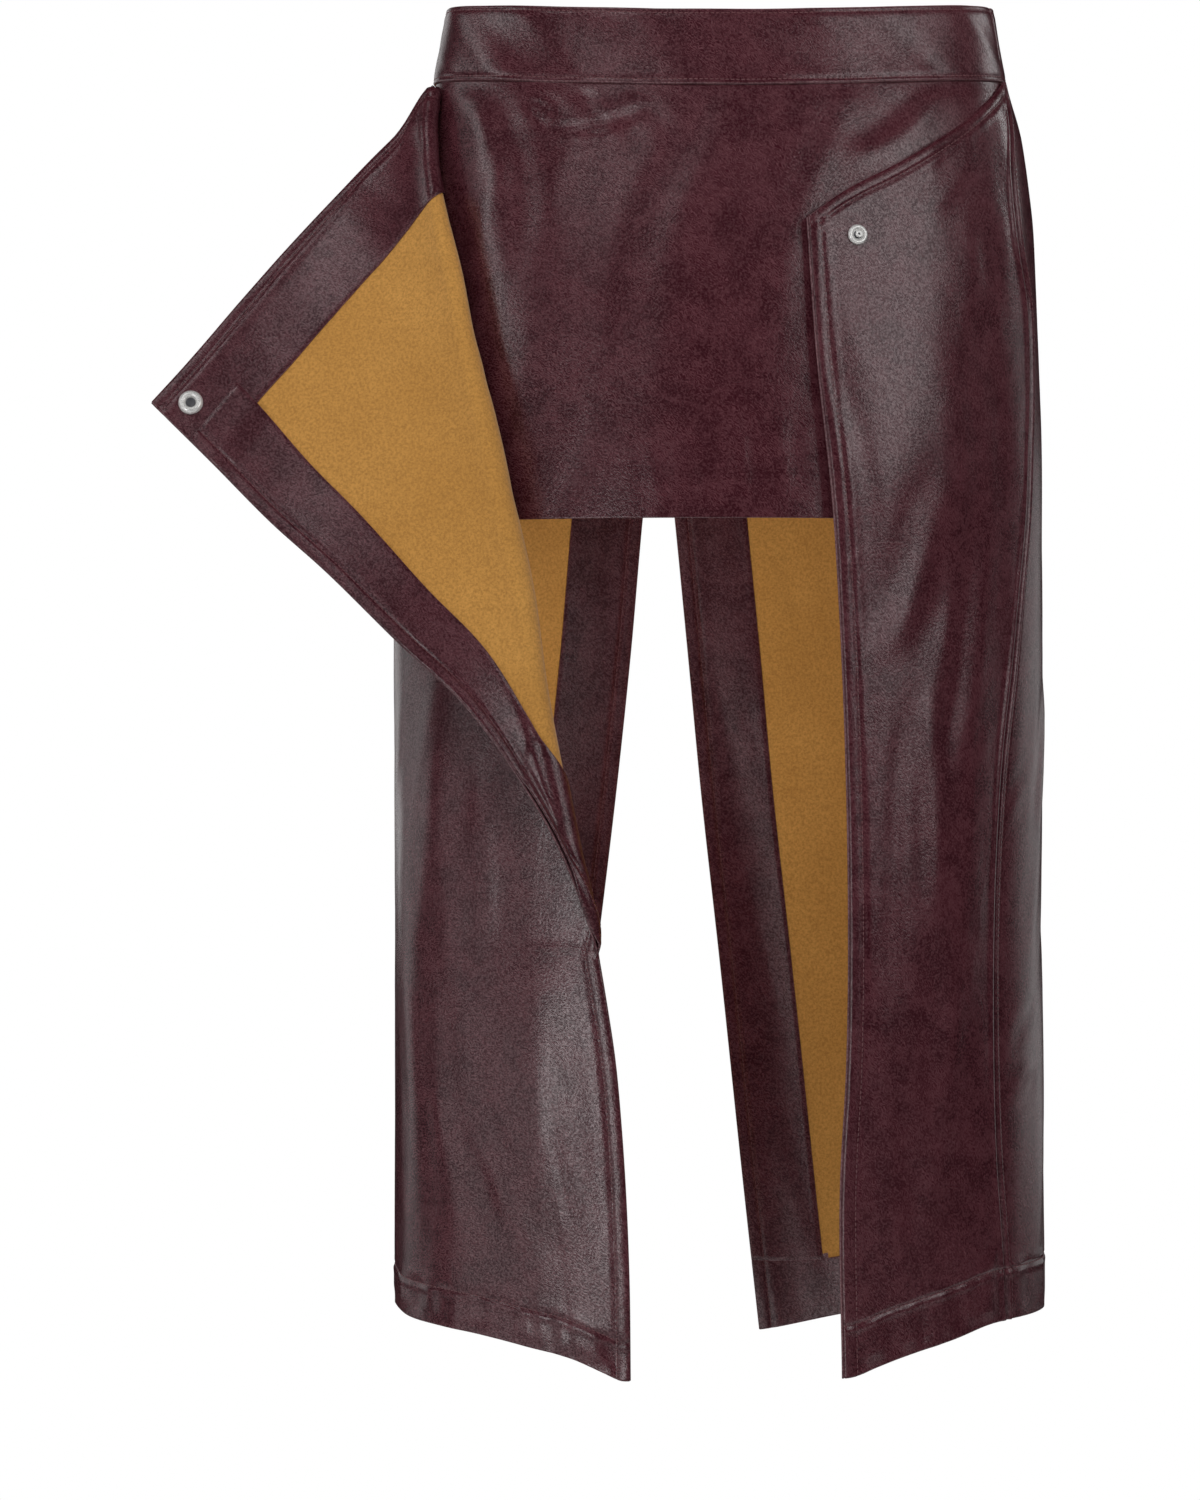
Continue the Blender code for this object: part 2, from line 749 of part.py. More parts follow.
def turned(name, profile, place, normal, collection):
    """A round metal piece: (radius, height) pairs from top to bottom."""
    mesh = bpy.data.meshes.new(name)
    verts = [(radius, 0.0, height) for radius, height in profile]
    edges = [(i, i + 1) for i in range(len(profile) - 1)]
    mesh.from_pydata(verts, edges, [])
    made = bpy.data.objects.new(name, mesh)
    made.data.materials.append(snap_metal(name))
    spin = made.modifiers.new("Turn", "SCREW")
    spin.steps = SNAP_STEPS
    spin.render_steps = SNAP_STEPS
    spin.use_merge_vertices = True
    spin.merge_threshold = 0.00001
    spin.use_smooth_shade = True
    made.location = Vector(place)
    made.rotation_euler = Vector(normal).to_track_quat("Z", "Y").to_euler()
    collection.objects.link(made)
    return made


# Snap profiles, from the face that shows down to the leather.
STUD_PROFILE = (
    (0.0, 0.0040), (0.0017, 0.0040), (0.0024, 0.0034), (0.0019, 0.0024), (0.0019, 0.0014),
    (0.0036, 0.0013), (0.0046, 0.0018), (0.0056, 0.0013), (STUD_RADIUS, 0.0006),
    (STUD_RADIUS, 0.0), (0.0, 0.0))
BASE_PROFILE = (
    (0.0, 0.0012), (0.0040, 0.0012), (0.0050, 0.0007), (0.0050, 0.0), (0.0, 0.0))
SOCKET_PROFILE = (
    (0.0, 0.0008), (0.0036, 0.0008), (0.0040, 0.0030), (0.0052, 0.0034), (0.0066, 0.0028),
    (SOCKET_RADIUS, 0.0012), (SOCKET_RADIUS, 0.0), (0.0, 0.0))
CAP_PROFILE = (
    (0.0, 0.0026), (0.0032, 0.0024), (0.0056, 0.0016), (0.0070, 0.0006), (0.0070, 0.0),
    (0.0, 0.0))


def snap_on(name, profile, carrier, beside, collection):
    """Seat a snap piece on the face of its carrier that looks to a point, and
    give back its place and direction."""
    bpy.context.view_layer.update()
    solid = carrier.evaluated_get(bpy.context.evaluated_depsgraph_get())
    _, place, _, _ = solid.closest_point_on_mesh(Vector(beside))
    normal = (Vector(beside) - place).normalized()
    turned(name, profile, place + normal * SNAP_GAP, normal, collection)
    return place, normal


def build():
    for old in list(bpy.data.objects):
        bpy.data.objects.remove(old, do_unlink=True)
    collection = bpy.data.collections.new(NAME)
    bpy.context.scene.collection.children.link(collection)

    def add(name, points, wall=WALL, inside=tan_suede):
        return sheet_object(name, points, wall, collection, burgundy_leather, inside)

    def add_facing(name, points, outside=tan_suede):
        # The facing's finished side looks into the skirt.
        return sheet_object(name, points, FACING_WALL, collection, outside, burgundy_leather)

    # Waistband, in two halves.
    right = RIGHT_SEAM("angle", 0.0077)
    front = band_grid(right, LEFT_SEAM, BAND_COLUMNS)
    front = trimmed(front, first=BAND_END_TRIM, last=BAND_END_TRIM)
    back = band_grid(LEFT_SEAM, 360.0 + right, BAND_COLUMNS)
    back = trimmed(back, first=BAND_END_TRIM, last=BAND_END_TRIM)
    add("waistband_front", front, BAND_WALL, burgundy_leather)
    add("waistband_back", back, BAND_WALL, burgundy_leather)

    add("front_apron", apron_grid())

    # Right flap and what lies inside it.
    flap = right_flap_grid()
    right_flap = add("right_flap", flap)
    edge = flap.shape[1] - 1 - RIGHT_FACING_COLUMNS
    inside = lining_grid(flap)
    stud_facing = add_facing("right_flap_top_facing",
                             trimmed(inside[:3, 3:], bottom=SEAM_GAP / 2))
    add_facing("right_flap_edge_facing",
               trimmed(inside[2:, edge:], top=SEAM_GAP / 2, last=-FACING_PROUD))
    add_facing("right_flap_hem",
               trimmed(inside[-3:, :edge + 1], first=HEM_SEAM_TRIM, last=SEAM_GAP))

    # Left flap and what lies inside it.
    flap = left_flap_grid()
    left_flap = add("left_flap", flap)
    top_columns = LEFT_FACING_COLUMNS + LAPEL_COLUMNS + ROLL_COLUMNS - 1
    top = LEFT_TOP_ROWS
    inside = lining_grid(flap)
    socket_facing = add_facing("left_flap_top_facing", inside[:top + 1, :top_columns + 1])
    lap = np.zeros(len(flap))
    lap[:top + 1] = TOP_OVERLAP_LIFT
    fold_end = top + 1 + LAPEL_ROWS
    lap[fold_end - 1:fold_end + len(UNROLL_DOWNS)] = UNROLL_EASE
    lapped = lining_grid(flap, lap)
    add_facing("left_flap_edge_facing", lapped[top - 1:, :LEFT_FACING_COLUMNS + 1])
    add_facing("left_flap_hem",
               trimmed(inside[-LEFT_HEM_ROWS - 1:, LEFT_FACING_COLUMNS:],
                       first=SEAM_GAP, last=HEM_SEAM_TRIM))

    # Back panels, open as a slit below.
    vent = VENT_FACING_ROW
    left = back_left_grid()
    add("back_left", left)
    edge = left.shape[1] - 1 - BACK_FACING_COLUMNS
    inside = lining_grid(left)
    add_facing("back_left_vent_facing", trimmed(inside[vent:-2, edge:], bottom=SEAM_GAP))
    add_facing("back_left_hem", trimmed(inside[-3:], first=HEM_SEAM_TRIM))
    right_panel = back_right_grid()
    add("back_right", right_panel)
    inside = lining_grid(right_panel)
    add_facing("back_right_vent_facing",
               trimmed(inside[vent:-2, :BACK_FACING_COLUMNS + 1], bottom=SEAM_GAP))
    add_facing("back_right_hem", trimmed(inside[-3:], last=HEM_SEAM_TRIM))

    # The press stud, and the socket it would snap into.
    snap_on("snap_stud", STUD_PROFILE, right_flap, STUD_BESIDE, collection)
    snap_on("snap_stud_base", BASE_PROFILE, stud_facing, STUD_BASE_BESIDE, collection)
    place, normal = snap_on("snap_socket", SOCKET_PROFILE, socket_facing, SOCKET_BESIDE,
                            collection)
    behind = place - normal * CAP_BEHIND
    snap_on("snap_cap", CAP_PROFILE, left_flap, behind, collection)


build()
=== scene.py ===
"""A leather wrap skirt, standing open as it is worn, on no wearer.

Frame: metres, +Z up, front towards -Y. Angles go round the body in degrees:
0 is the +X side, 90 the front, 180 the -X side, 270 the back. A sheet is a
grid of points: rows run down, columns run round with growing angle.
"""

import math

import bpy
import numpy as np
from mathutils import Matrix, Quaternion, Vector


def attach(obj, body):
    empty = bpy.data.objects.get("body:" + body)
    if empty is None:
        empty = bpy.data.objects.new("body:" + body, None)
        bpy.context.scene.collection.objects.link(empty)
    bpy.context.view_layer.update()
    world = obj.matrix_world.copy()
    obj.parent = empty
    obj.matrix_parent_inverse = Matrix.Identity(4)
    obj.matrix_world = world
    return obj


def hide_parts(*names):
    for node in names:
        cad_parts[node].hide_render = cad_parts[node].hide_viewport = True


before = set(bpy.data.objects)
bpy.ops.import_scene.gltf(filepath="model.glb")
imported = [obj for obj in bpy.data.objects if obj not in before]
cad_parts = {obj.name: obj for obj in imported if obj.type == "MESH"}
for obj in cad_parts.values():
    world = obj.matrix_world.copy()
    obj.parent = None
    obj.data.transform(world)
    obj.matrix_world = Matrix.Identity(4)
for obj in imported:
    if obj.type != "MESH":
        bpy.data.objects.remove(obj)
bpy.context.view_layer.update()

# ---------------------------------------------------------------- sizes

WALL = 0.0013                 # one layer of leather
FACING_WALL = 0.0011
BAND_WALL = 0.0030            # the folded waistband
LAYER_GAP = 0.0001
SEAM_GAP = 0.0003
BAND_HALF = 0.0228            # half the band's width
BAND_END_TRIM = 0.0005
BAND_INSET = -0.0008
BAND_RISE = 0.0077            # of the band's middle line at the sides
BAND_FRONT_DIP = 0.0111       # from there to the middle of the front
BAND_BACK_DIP = 0.0060
PANEL_LIFT = 0.0020           # of the panels off the form, below the band
PANEL_LIFT_TOP = -0.018
PANEL_LIFT_DEPTH = 0.034
PANEL_BODY = 0.67             # about how long a panel is between its facings
TOP_ABOUT = -0.02
HEM_ABOUT = -0.76
APRON_INSET = -0.0016
APRON_WIDTH = 0.42
APRON_LENGTH = 0.26
APRON_HEM = -0.283
APRON_PAST_SEAM = 1.5         # degrees
APRON_LEFT_END = 174.0
FACING_WIDTH = 0.045
TOP_FACING = 0.045
FACING_PROUD = 0.0018
FACING_MIDDLE = 7.0           # degrees from a free edge
TOP_OVERLAP_LIFT = FACING_WALL + LAYER_GAP
FLAP_WIDTH = 0.105            # of the right flap beside its edge facing
BACK_LEFT_WIDTH = 0.150
BACK_RIGHT_WIDTH = 0.290
LEFT_SEAM = 187.0
LEFT_CORNER = 105.8
VENT_TOP = -0.166
SLIT_TOP = -0.200
SLIT_EASE = 0.020
FOLD_FADE_FROM = 0.75
FOLD_FADE_HANGING = 0.5
FLAP_LIFT_REACH = 46.0        # degrees
PITCH = 0.0034                # size of a grid cell

STITCH_FREE = 0.0078          # from a flap's free edge to its topstitch
STITCH_TOP = 0.0072           # from a slanted top edge
STITCH_BAND = 0.0021
STITCH_SEAM = 0.0040
HEM_STITCH = 0.0022           # from an allowance's raw edge to its stitches
EDGE_FADE = 0.012             # over which unevenness fades towards an edge
SEAM_FADE = 0.010
SIDE_FADE = 0.060

STUD_BESIDE = (0.0888, -0.1390, -0.1130)
STUD_BASE_BESIDE = (0.0783, -0.0985, -0.1172)
SOCKET_BESIDE = (-0.3152, -0.1040, -0.2071)
CAP_BEHIND = 0.020


class Table:
    """Sizes under named columns, read smoothly between the rows."""

    def __init__(self, names, rows):
        self.names = names.split()
        self.rows = np.array(rows, dtype=float)
        if self.rows[0, 0] > self.rows[-1, 0]:
            self.rows = self.rows[::-1]

    def __call__(self, name, at):
        key = self.rows[:, 0]
        value = self.rows[:, self.names.index(name)]
        at = np.clip(at, key[0], key[-1])
        slope = np.gradient(value, key)
        i = np.clip(np.searchsorted(key, at) - 1, 0, len(key) - 2)
        step = key[i + 1] - key[i]
        t = (at - key[i]) / step
        return ((1 + 2 * t) * (1 - t) ** 2 * value[i]
                + t * (1 - t) ** 2 * step * slope[i]
                + t * t * (3 - 2 * t) * value[i + 1]
                - t * t * (1 - t) * step * slope[i + 1])


# The hollow form that the skirt is worn on.
FORM = Table("height half_width front_depth back_depth", (
    (0.0320, 0.1655, 0.0895, 0.0885),
    (-0.0163, 0.1746, 0.0935, 0.0940),
    (-0.0395, 0.1795, 0.0975, 0.0990),
    (-0.0676, 0.1838, 0.1025, 0.1050),
    (-0.1048, 0.1882, 0.1070, 0.1110),
    (-0.1420, 0.1902, 0.1100, 0.1150),
    (-0.1980, 0.1922, 0.1125, 0.1175),
    (-0.2350, 0.1934, 0.1140, 0.1185),
    (-0.3000, 0.1940, 0.1150, 0.1190),
    (-0.5500, 0.1940, 0.1160, 0.1195),
    (-0.8000, 0.1940, 0.1165, 0.1195),
))
RIGHT_SEAM = Table("height angle", (
    (0.0350, 9.0), (-0.0200, 13.0), (-0.0700, 20.0), (-0.1090, 20.5),
    (-0.1540, 15.5), (-0.2000, 16.0), (-0.2400, 18.5), (-0.2750, 20.0),
    (-0.3240, 24.0), (-0.3730, 27.5), (-0.4200, 31.0), (-0.4700, 33.2),
    (-0.6000, 34.3), (-0.6600, 33.2), (-0.7260, 30.5), (-0.7620, 29.5),
))
RIGHT_TOP = Table("angle height", (
    (13.0, -0.0165), (21.0, -0.0250), (40.0, -0.0490),
    (56.0, -0.0720), (69.0, -0.0925), (75.0, -0.1060),
))
RIGHT_EDGE = Table("height angle lift", (
    (-0.1060, 74.8, 0.0045),
    (-0.1880, 73.5, 0.0055),
    (-0.2840, 70.7, 0.0065),
    (-0.3700, 69.2, 0.0070),
    (-0.5100, 68.2, 0.0075),
    (-0.6130, 68.6, 0.0075),
    (-0.6700, 69.5, 0.0075),
    (-0.7900, 69.2, 0.0080),
))
# The left flap's fold: where the roll starts, its size, the free edge, how
# straight the leather leaves the roll, and the edge facing's width.
LAPEL = Table("down roll_angle roll_height roll_lift roll_radius edge_x edge_y edge_z ease facing", (
    (0.00, 165.3, -0.0222, 0.0012, 0.0028, -0.3394, -0.0780, -0.2136, 0.05, 0.0450),
    (0.12, 151.9, -0.0880, 0.0040, 0.0048, -0.3035, -0.0860, -0.2489, 0.10, 0.0445),
    (0.25, 143.9, -0.1384, 0.0050, 0.0068, -0.2665, -0.0980, -0.2860, 0.15, 0.0425),
    (0.36, 137.0, -0.1995, 0.0065, 0.0085, -0.2342, -0.1120, -0.3147, 0.20, 0.0400),
    (0.50, 129.8, -0.2740, 0.0080, 0.0095, -0.1898, -0.1280, -0.3581, 0.24, 0.0375),
    (0.63, 124.8, -0.3430, 0.0100, 0.0090, -0.1519, -0.1340, -0.3938, 0.28, 0.0360),
    (0.76, 120.9, -0.4130, 0.0115, 0.0080, -0.1171, -0.1360, -0.4411, 0.30, 0.0350),
    (0.88, 116.5, -0.4760, 0.0125, 0.0060, -0.0935, -0.1330, -0.4841, 0.30, 0.0350),
    (1.00, 112.0, -0.5364, 0.0130, 0.0050, -0.0747, -0.1250, -0.5364, 0.30, 0.0350),
))
FOLD_END_HEIGHT = -0.5364
FOLD_END_SIDE = -0.5230
UNROLL_SHARE = 0.22
UNROLL_FROM = 0.79
UNROLL_EASE = 0.0008
TOP_FACING_END = 0.120
EDGE_FACING_START = 0.078
LEFT_EDGE = Table("height angle lift", (
    (-0.5364, 111.6, 0.0130),
    (-0.5670, 110.0, 0.0140),
    (-0.6020, 108.4, 0.0145),
    (-0.6420, 107.3, 0.0145),
    (-0.6860, 106.5, 0.0140),
    (-0.7310, 106.0, 0.0140),
    (-0.7890, 105.8, 0.0140),
))
SLIT = Table("height centre half_open", (
    (0.0350, 266.2, 0.0),
    (-0.0200, 265.6, 0.0),
    (-0.1000, 262.8, 0.0),
    (-0.1760, 259.8, 0.0),
    (-0.2250, 259.4, 1.6),
    (-0.2730, 259.4, 3.1),
    (-0.3594, 259.5, 5.5),
    (-0.4453, 259.3, 8.1),
    (-0.5500, 259.0, 11.8),
    (-0.7014, 258.2, 17.3),
    (-0.7900, 257.7, 20.7),
))
# Depth of each panel's hem allowance, from its first column to its facing
# and its last column.
HEM_DEPTH = Table("share right_flap left_flap back_left back_right", (
    (0.0, 0.0325, 0.0245, 0.0245, 0.0435),
    (1.0, 0.0325, 0.0245, 0.0390, 0.0355),
    (2.0, 0.0325, 0.0245, 0.0435, 0.0325),
))
LEFT_HEM = Table("angle height", (
    (105.0, -0.7892), (107.5, -0.7890), (110.0, -0.7854), (115.6, -0.7777),
    (124.7, -0.7711), (136.4, -0.7655), (147.0, -0.7630), (161.0, -0.7603),
    (173.0, -0.7562), (187.0, -0.7545),
))
RIGHT_HEM = Table("angle height", (
    (29.0, -0.7606), (36.0, -0.7622), (46.0, -0.7685), (56.6, -0.7764),
    (63.0, -0.7826), (67.5, -0.7878), (70.0, -0.7890),
))
BACK_HEM = Table("angle height", (
    (187.0, -0.7545), (200.0, -0.7580), (215.0, -0.7650), (228.0, -0.7752),
    (237.0, -0.7857), (278.4, -0.7857), (293.0, -0.7756), (312.0, -0.7655),
    (330.0, -0.7600), (360.0, -0.7575), (375.0, -0.7590), (389.5, -0.7606),
))

# Largest soft folds: angle, half_width, height, top, bottom, slant.
FOLDS = {
    "front_apron": (
        (118.0, 9.0, 0.0016, -0.050, -0.250, 60.0),
        (80.0, 12.0, 0.0004, -0.060, -0.270, 20.0),
    ),
    "right_flap": (
        (58.0, 12.0, 0.0050, -0.120, -0.340, -15.0),
        (49.0, 9.0, 0.0048, -0.320, -0.700, 10.0),
        (62.5, 5.5, 0.0030, -0.400, -0.760, -4.0),
    ),
    "left_flap": (
        (157.0, 8.0, 0.0045, -0.360, -0.750, -6.0),
        (143.0, 7.0, 0.0032, -0.300, -0.640, -30.0),
        (122.0, 7.0, 0.0045, -0.500, -0.760, -20.0),
    ),
    "back_left": (
        (209.0, 8.0, 0.0045, -0.200, -0.700, 10.0),
        (228.0, 8.0, 0.0040, -0.300, -0.740, -18.0),
        (240.0, 9.0, 0.0035, -0.060, -0.240, 30.0),
    ),
    "back_right": (
        (300.0, 9.0, 0.0045, -0.280, -0.740, 20.0),
        (328.0, 9.0, 0.0055, -0.200, -0.700, -8.0),
        (288.0, 9.0, 0.0035, -0.060, -0.240, -30.0),
        (342.0, 6.0, 0.0030, -0.330, -0.620, -12.0),
    ),
}

# Creases: two ends, (across, height) each, then half_width, depth, bend.
# Across is x on the front sheets and the angle in degrees times DEGREE
# elsewhere. A depth above zero is a ridge, below zero a trough.
DEGREE = 0.0027
CREASES = {
    "front_apron": (
        (-0.116, -0.034, -0.100, -0.047, 0.0035, -0.0008, 0.002),
        (-0.104, -0.052, -0.047, -0.042, 0.0036, 0.0011, -0.003),
        (-0.060, -0.028, -0.030, -0.052, 0.0050, -0.0008, 0.000),
        (-0.086, -0.020, -0.060, -0.062, 0.0060, 0.0009, 0.000),
        (0.010, -0.262, 0.006, -0.220, 0.0035, 0.0005, 0.000),
        (0.020, -0.270, 0.018, -0.232, 0.0030, -0.0005, 0.000),
        (0.036, -0.268, 0.033, -0.225, 0.0035, 0.0005, 0.000),
        (-0.010, -0.272, -0.013, -0.244, 0.0030, 0.0004, 0.000),
        (-0.040, -0.272, -0.044, -0.238, 0.0030, 0.0004, 0.000),
        (-0.150, -0.030, -0.132, -0.090, 0.0070, 0.0008, 0.004),
        (-0.128, -0.040, -0.115, -0.130, 0.0090, -0.0006, 0.003),
        (0.130, -0.030, 0.080, -0.070, 0.0070, 0.0010, 0.004),
        (-0.174, -0.024, -0.150, -0.170, 0.0110, -0.0024, 0.000),
    ),
    "right_flap": (
        (0.150, -0.060, 0.120, -0.100, 0.0060, 0.0005, 0.003),
        (0.160, -0.100, 0.150, -0.190, 0.0060, -0.0006, 0.004),
        (0.130, -0.260, 0.098, -0.360, 0.0080, 0.0012, 0.004),
        (0.148, -0.280, 0.132, -0.420, 0.0060, -0.0012, 0.003),
        (0.120, -0.380, 0.124, -0.520, 0.0055, 0.0011, 0.003),
        (0.104, -0.400, 0.100, -0.560, 0.0060, -0.0010, -0.002),
        (0.136, -0.560, 0.122, -0.700, 0.0060, 0.0010, 0.002),
        (0.100, -0.600, 0.112, -0.720, 0.0060, -0.0008, 0.002),
        (0.166, -0.716, 0.156, -0.730, 0.0030, 0.0007, 0.001),
        (0.120, -0.742, 0.124, -0.772, 0.0030, 0.0006, 0.000),
        (0.142, -0.728, 0.146, -0.760, 0.0035, 0.0007, 0.000),
    ),
    "left_flap": (
        (-0.150, -0.640, -0.124, -0.702, 0.0060, 0.0007, 0.003),
        (-0.132, -0.650, -0.104, -0.720, 0.0065, -0.0006, 0.003),
        (-0.172, -0.620, -0.156, -0.712, 0.0070, 0.0007, 0.002),
        (-0.108, -0.640, -0.088, -0.712, 0.0055, 0.0005, 0.002),
        (-0.160, -0.430, -0.150, -0.560, 0.0070, -0.0007, 0.002),
        (-0.146, -0.420, -0.140, -0.540, 0.0060, 0.0006, 0.002),
        (-0.128, -0.500, -0.122, -0.620, 0.0075, -0.0004, 0.003),
        (-0.110, -0.560, -0.108, -0.660, 0.0070, 0.0004, 0.002),
        (-0.120, -0.742, -0.116, -0.768, 0.0030, 0.0006, 0.000),
        (-0.146, -0.736, -0.142, -0.764, 0.0030, -0.0006, 0.000),
        (-0.098, -0.748, -0.094, -0.776, 0.0030, 0.0006, 0.000),
    ),
    "back_left": (
        (196 * DEGREE, -0.560, 212 * DEGREE, -0.610, 0.0060, 0.0013, 0.003),
        (192 * DEGREE, -0.330, 205 * DEGREE, -0.420, 0.0070, -0.0012, 0.003),
        (216 * DEGREE, -0.120, 232 * DEGREE, -0.180, 0.0070, 0.0012, 0.004),
        (246 * DEGREE, -0.150, 230 * DEGREE, -0.240, 0.0080, -0.0012, 0.004),
        (222 * DEGREE, -0.640, 230 * DEGREE, -0.740, 0.0050, 0.0010, 0.002),
    ),
    "back_right": (
        (384 * DEGREE, -0.446, 396 * DEGREE, -0.476, 0.0055, 0.0016, 0.002),
        (382 * DEGREE, -0.430, 395 * DEGREE, -0.462, 0.0050, -0.0014, 0.002),
        (376 * DEGREE, -0.606, 393 * DEGREE, -0.640, 0.0060, 0.0014, 0.003),
        (374 * DEGREE, -0.570, 388 * DEGREE, -0.600, 0.0060, -0.0012, 0.003),
        (360 * DEGREE, -0.380, 372 * DEGREE, -0.470, 0.0070, 0.0012, 0.003),
        (340 * DEGREE, -0.620, 352 * DEGREE, -0.720, 0.0060, -0.0012, 0.003),
        (300 * DEGREE, -0.120, 318 * DEGREE, -0.190, 0.0070, 0.0012, 0.004),
        (280 * DEGREE, -0.160, 296 * DEGREE, -0.250, 0.0080, -0.0012, 0.004),
        (312 * DEGREE, -0.560, 306 * DEGREE, -0.700, 0.0060, 0.0012, 0.003),
    ),
}


# ------------------------------------------------------------- geometry

def smooth(t):
    t = np.clip(t, 0.0, 1.0)
    return t * t * (3.0 - 2.0 * t)


def bell(distance, width):
    return np.exp(-((distance / width) ** 2))


def unit(v):
    return v / np.linalg.norm(v, axis=-1, keepdims=True)


def on_form(angle, height, out=0.0):
    """Points of the form, moved out along its level normal."""
    angle, height, out = np.broadcast_arrays(
        np.asarray(angle, float), np.asarray(height, float), np.asarray(out, float))
    half_width = FORM("half_width", height)
    c = np.cos(np.radians(angle))
    s = np.sin(np.radians(angle))
    depth = np.where(s >= 0, FORM("front_depth", height), FORM("back_depth", height))
    normal = unit(np.stack((c / half_width, -s / depth, np.zeros_like(c)), -1))
    return np.stack((half_width * c, -depth * s, height), -1) + out[..., None] * normal


def degrees_for(length, angle, height):
    """How many degrees a length takes on the form's girth."""
    step = on_form(angle + 0.5, height) - on_form(angle - 0.5, height)
    return length / np.linalg.norm(step, axis=-1)


def waist_dip(angle):
    s = np.sin(np.radians(angle))
    return BAND_RISE - np.where(s > 0, BAND_FRONT_DIP, BAND_BACK_DIP) * s * s


def under_band(angle):
    return waist_dip(angle) - BAND_HALF - SEAM_GAP


def panel_lift(height):
    return PANEL_LIFT * smooth((PANEL_LIFT_TOP - height) / PANEL_LIFT_DEPTH)


def slit_edge(side, height):
    return SLIT("centre", height) + side * np.maximum(SLIT("half_open", height), 0.0)


def fold_lift(panel, angle, height):
    """How far the soft folds of a panel stand out."""
    out = np.zeros(np.broadcast(angle, height).shape)
    for centre, half_width, tall, top, bottom, slant in FOLDS[panel]:
        middle = 0.5 * (top + bottom)
        off = (angle - centre - slant * (middle - height)) / half_width
        along = (height - middle) / (0.5 * (top - bottom))
        inside = (np.abs(off) < 2.0) & (np.abs(along) < 1.0)
        shape = np.cos(0.25 * np.pi * off) ** 2 * (1.0 - along * along) ** 2
        out = out + np.where(inside, tall * shape, 0.0)
    return out


# Distances from a sewn edge at which a sheet has lines, for its stitch and puff.
EDGE_PLACES = np.array((0.0, 0.0006, 0.0012, 0.0020, 0.0030, 0.0040, 0.0050, 0.0060, 0.0068,
                        0.0076, 0.0084, 0.0093, 0.0104, 0.0118, 0.0136, 0.0160))
SEAM_LINES = 12               # of them lie beside a seam, clear of a facing
STITCH_LINE = 9               # the one next to a row of stitches


def graded(length, first=True, last=True):
    """Distances 0 to length: even, with narrow cells at the ends."""
    near = EDGE_PLACES[EDGE_PLACES < 0.45 * length]
    start = near if first else np.zeros(1)
    stop = length - near[::-1] if last else np.full(1, length)
    count = max(int(round((stop[0] - start[-1]) / PITCH)), 1)
    return np.concatenate((start[:-1], np.linspace(start[-1], stop[0], count + 1), stop[1:]))


def normals(points):
    """Outward normals of a grid of points."""
    across = np.gradient(points, axis=1)
    down = np.gradient(points, axis=0)
    return unit(np.cross(across, down))


def lengths(points, axis):
    """Distance run along the grid, from its first column or row."""
    step = np.linalg.norm(np.diff(points, axis=axis), axis=-1)
    run = np.cumsum(step, axis=axis)
    return np.insert(run, 0, 0.0, axis=axis)


WANDER_CELLS = 64


def wander(u, v, size, seed):
    """Smooth random heights, -1 to 1, over cells of the given size. The seed
    also moves the place in the table at which they start."""
    table = np.random.RandomState(seed).uniform(-1.0, 1.0, (WANDER_CELLS, WANDER_CELLS))
    x = u / size[0] + 7.31 * seed
    y = v / size[1] + 3.77 * seed
    i = np.floor(x).astype(int)
    j = np.floor(y).astype(int)
    fx = smooth(x - i)
    fy = smooth(y - j)

    def at(a, b):
        return table[a % WANDER_CELLS, b % WANDER_CELLS]

    low = at(i, j) * (1 - fx) + at(i + 1, j) * fx
    high = at(i, j + 1) * (1 - fx) + at(i + 1, j + 1) * fx
    return low * (1 - fy) + high * fy


def crease_lift(panel, across, height):
    """Troughs and ridges listed in CREASES, which fade over their ends and have a
    weak opposite swell on both sides."""
    out = np.zeros_like(height)
    for x0, z0, x1, z1, width, depth, bend in CREASES[panel]:
        along = np.array((x1 - x0, z1 - z0))
        reach = np.linalg.norm(along)
        along = along / reach
        s = ((across - x0) * along[0] + (height - z0) * along[1]) / reach
        t = -(across - x0) * along[1] + (height - z0) * along[0]
        t = t - bend * 4.0 * s * (1.0 - s)
        ends = smooth((s + 0.15) / 0.4) * smooth((1.15 - s) / 0.4)
        beside = 0.45 * bell(np.abs(t) / width - 2.0, 1.0)
        out += depth * ends * (bell(t, width) - beside)
    return out


# Unevenness of the hanging leather: height, its cells' width and length,
# and whether it leans.
UNEVEN = (
    (0.0015, (0.030, 0.200), 1),
    (0.00045, (0.012, 0.100), 1),
    (0.00010, (0.007, 0.016), 0),
)
# How tall it is in a panel, and how far it leans across for each metre down.
RELIEF = {
    "waistband_front": (0.5, 0.9),
    "waistband_back": (0.5, -0.9),
    "front_apron": (0.55, -0.35),
    "right_flap": (0.85, 0.22),
    "left_flap": (0.75, -0.06),
    "back_left": (1.0, 0.10),
    "back_right": (1.0, -0.15),
}


def soft_relief(panel, u, v):
    """The panel's unevenness, u metres across and v metres down."""
    seed = sum(ord(letter) for letter in panel) % 40
    tall, lean = RELIEF[panel]
    out = 0.0
    for step, (height, cell, leans) in enumerate(UNEVEN):
        out = out + height * wander(u + leans * lean * v, v, cell, seed + step)
    return tall * out


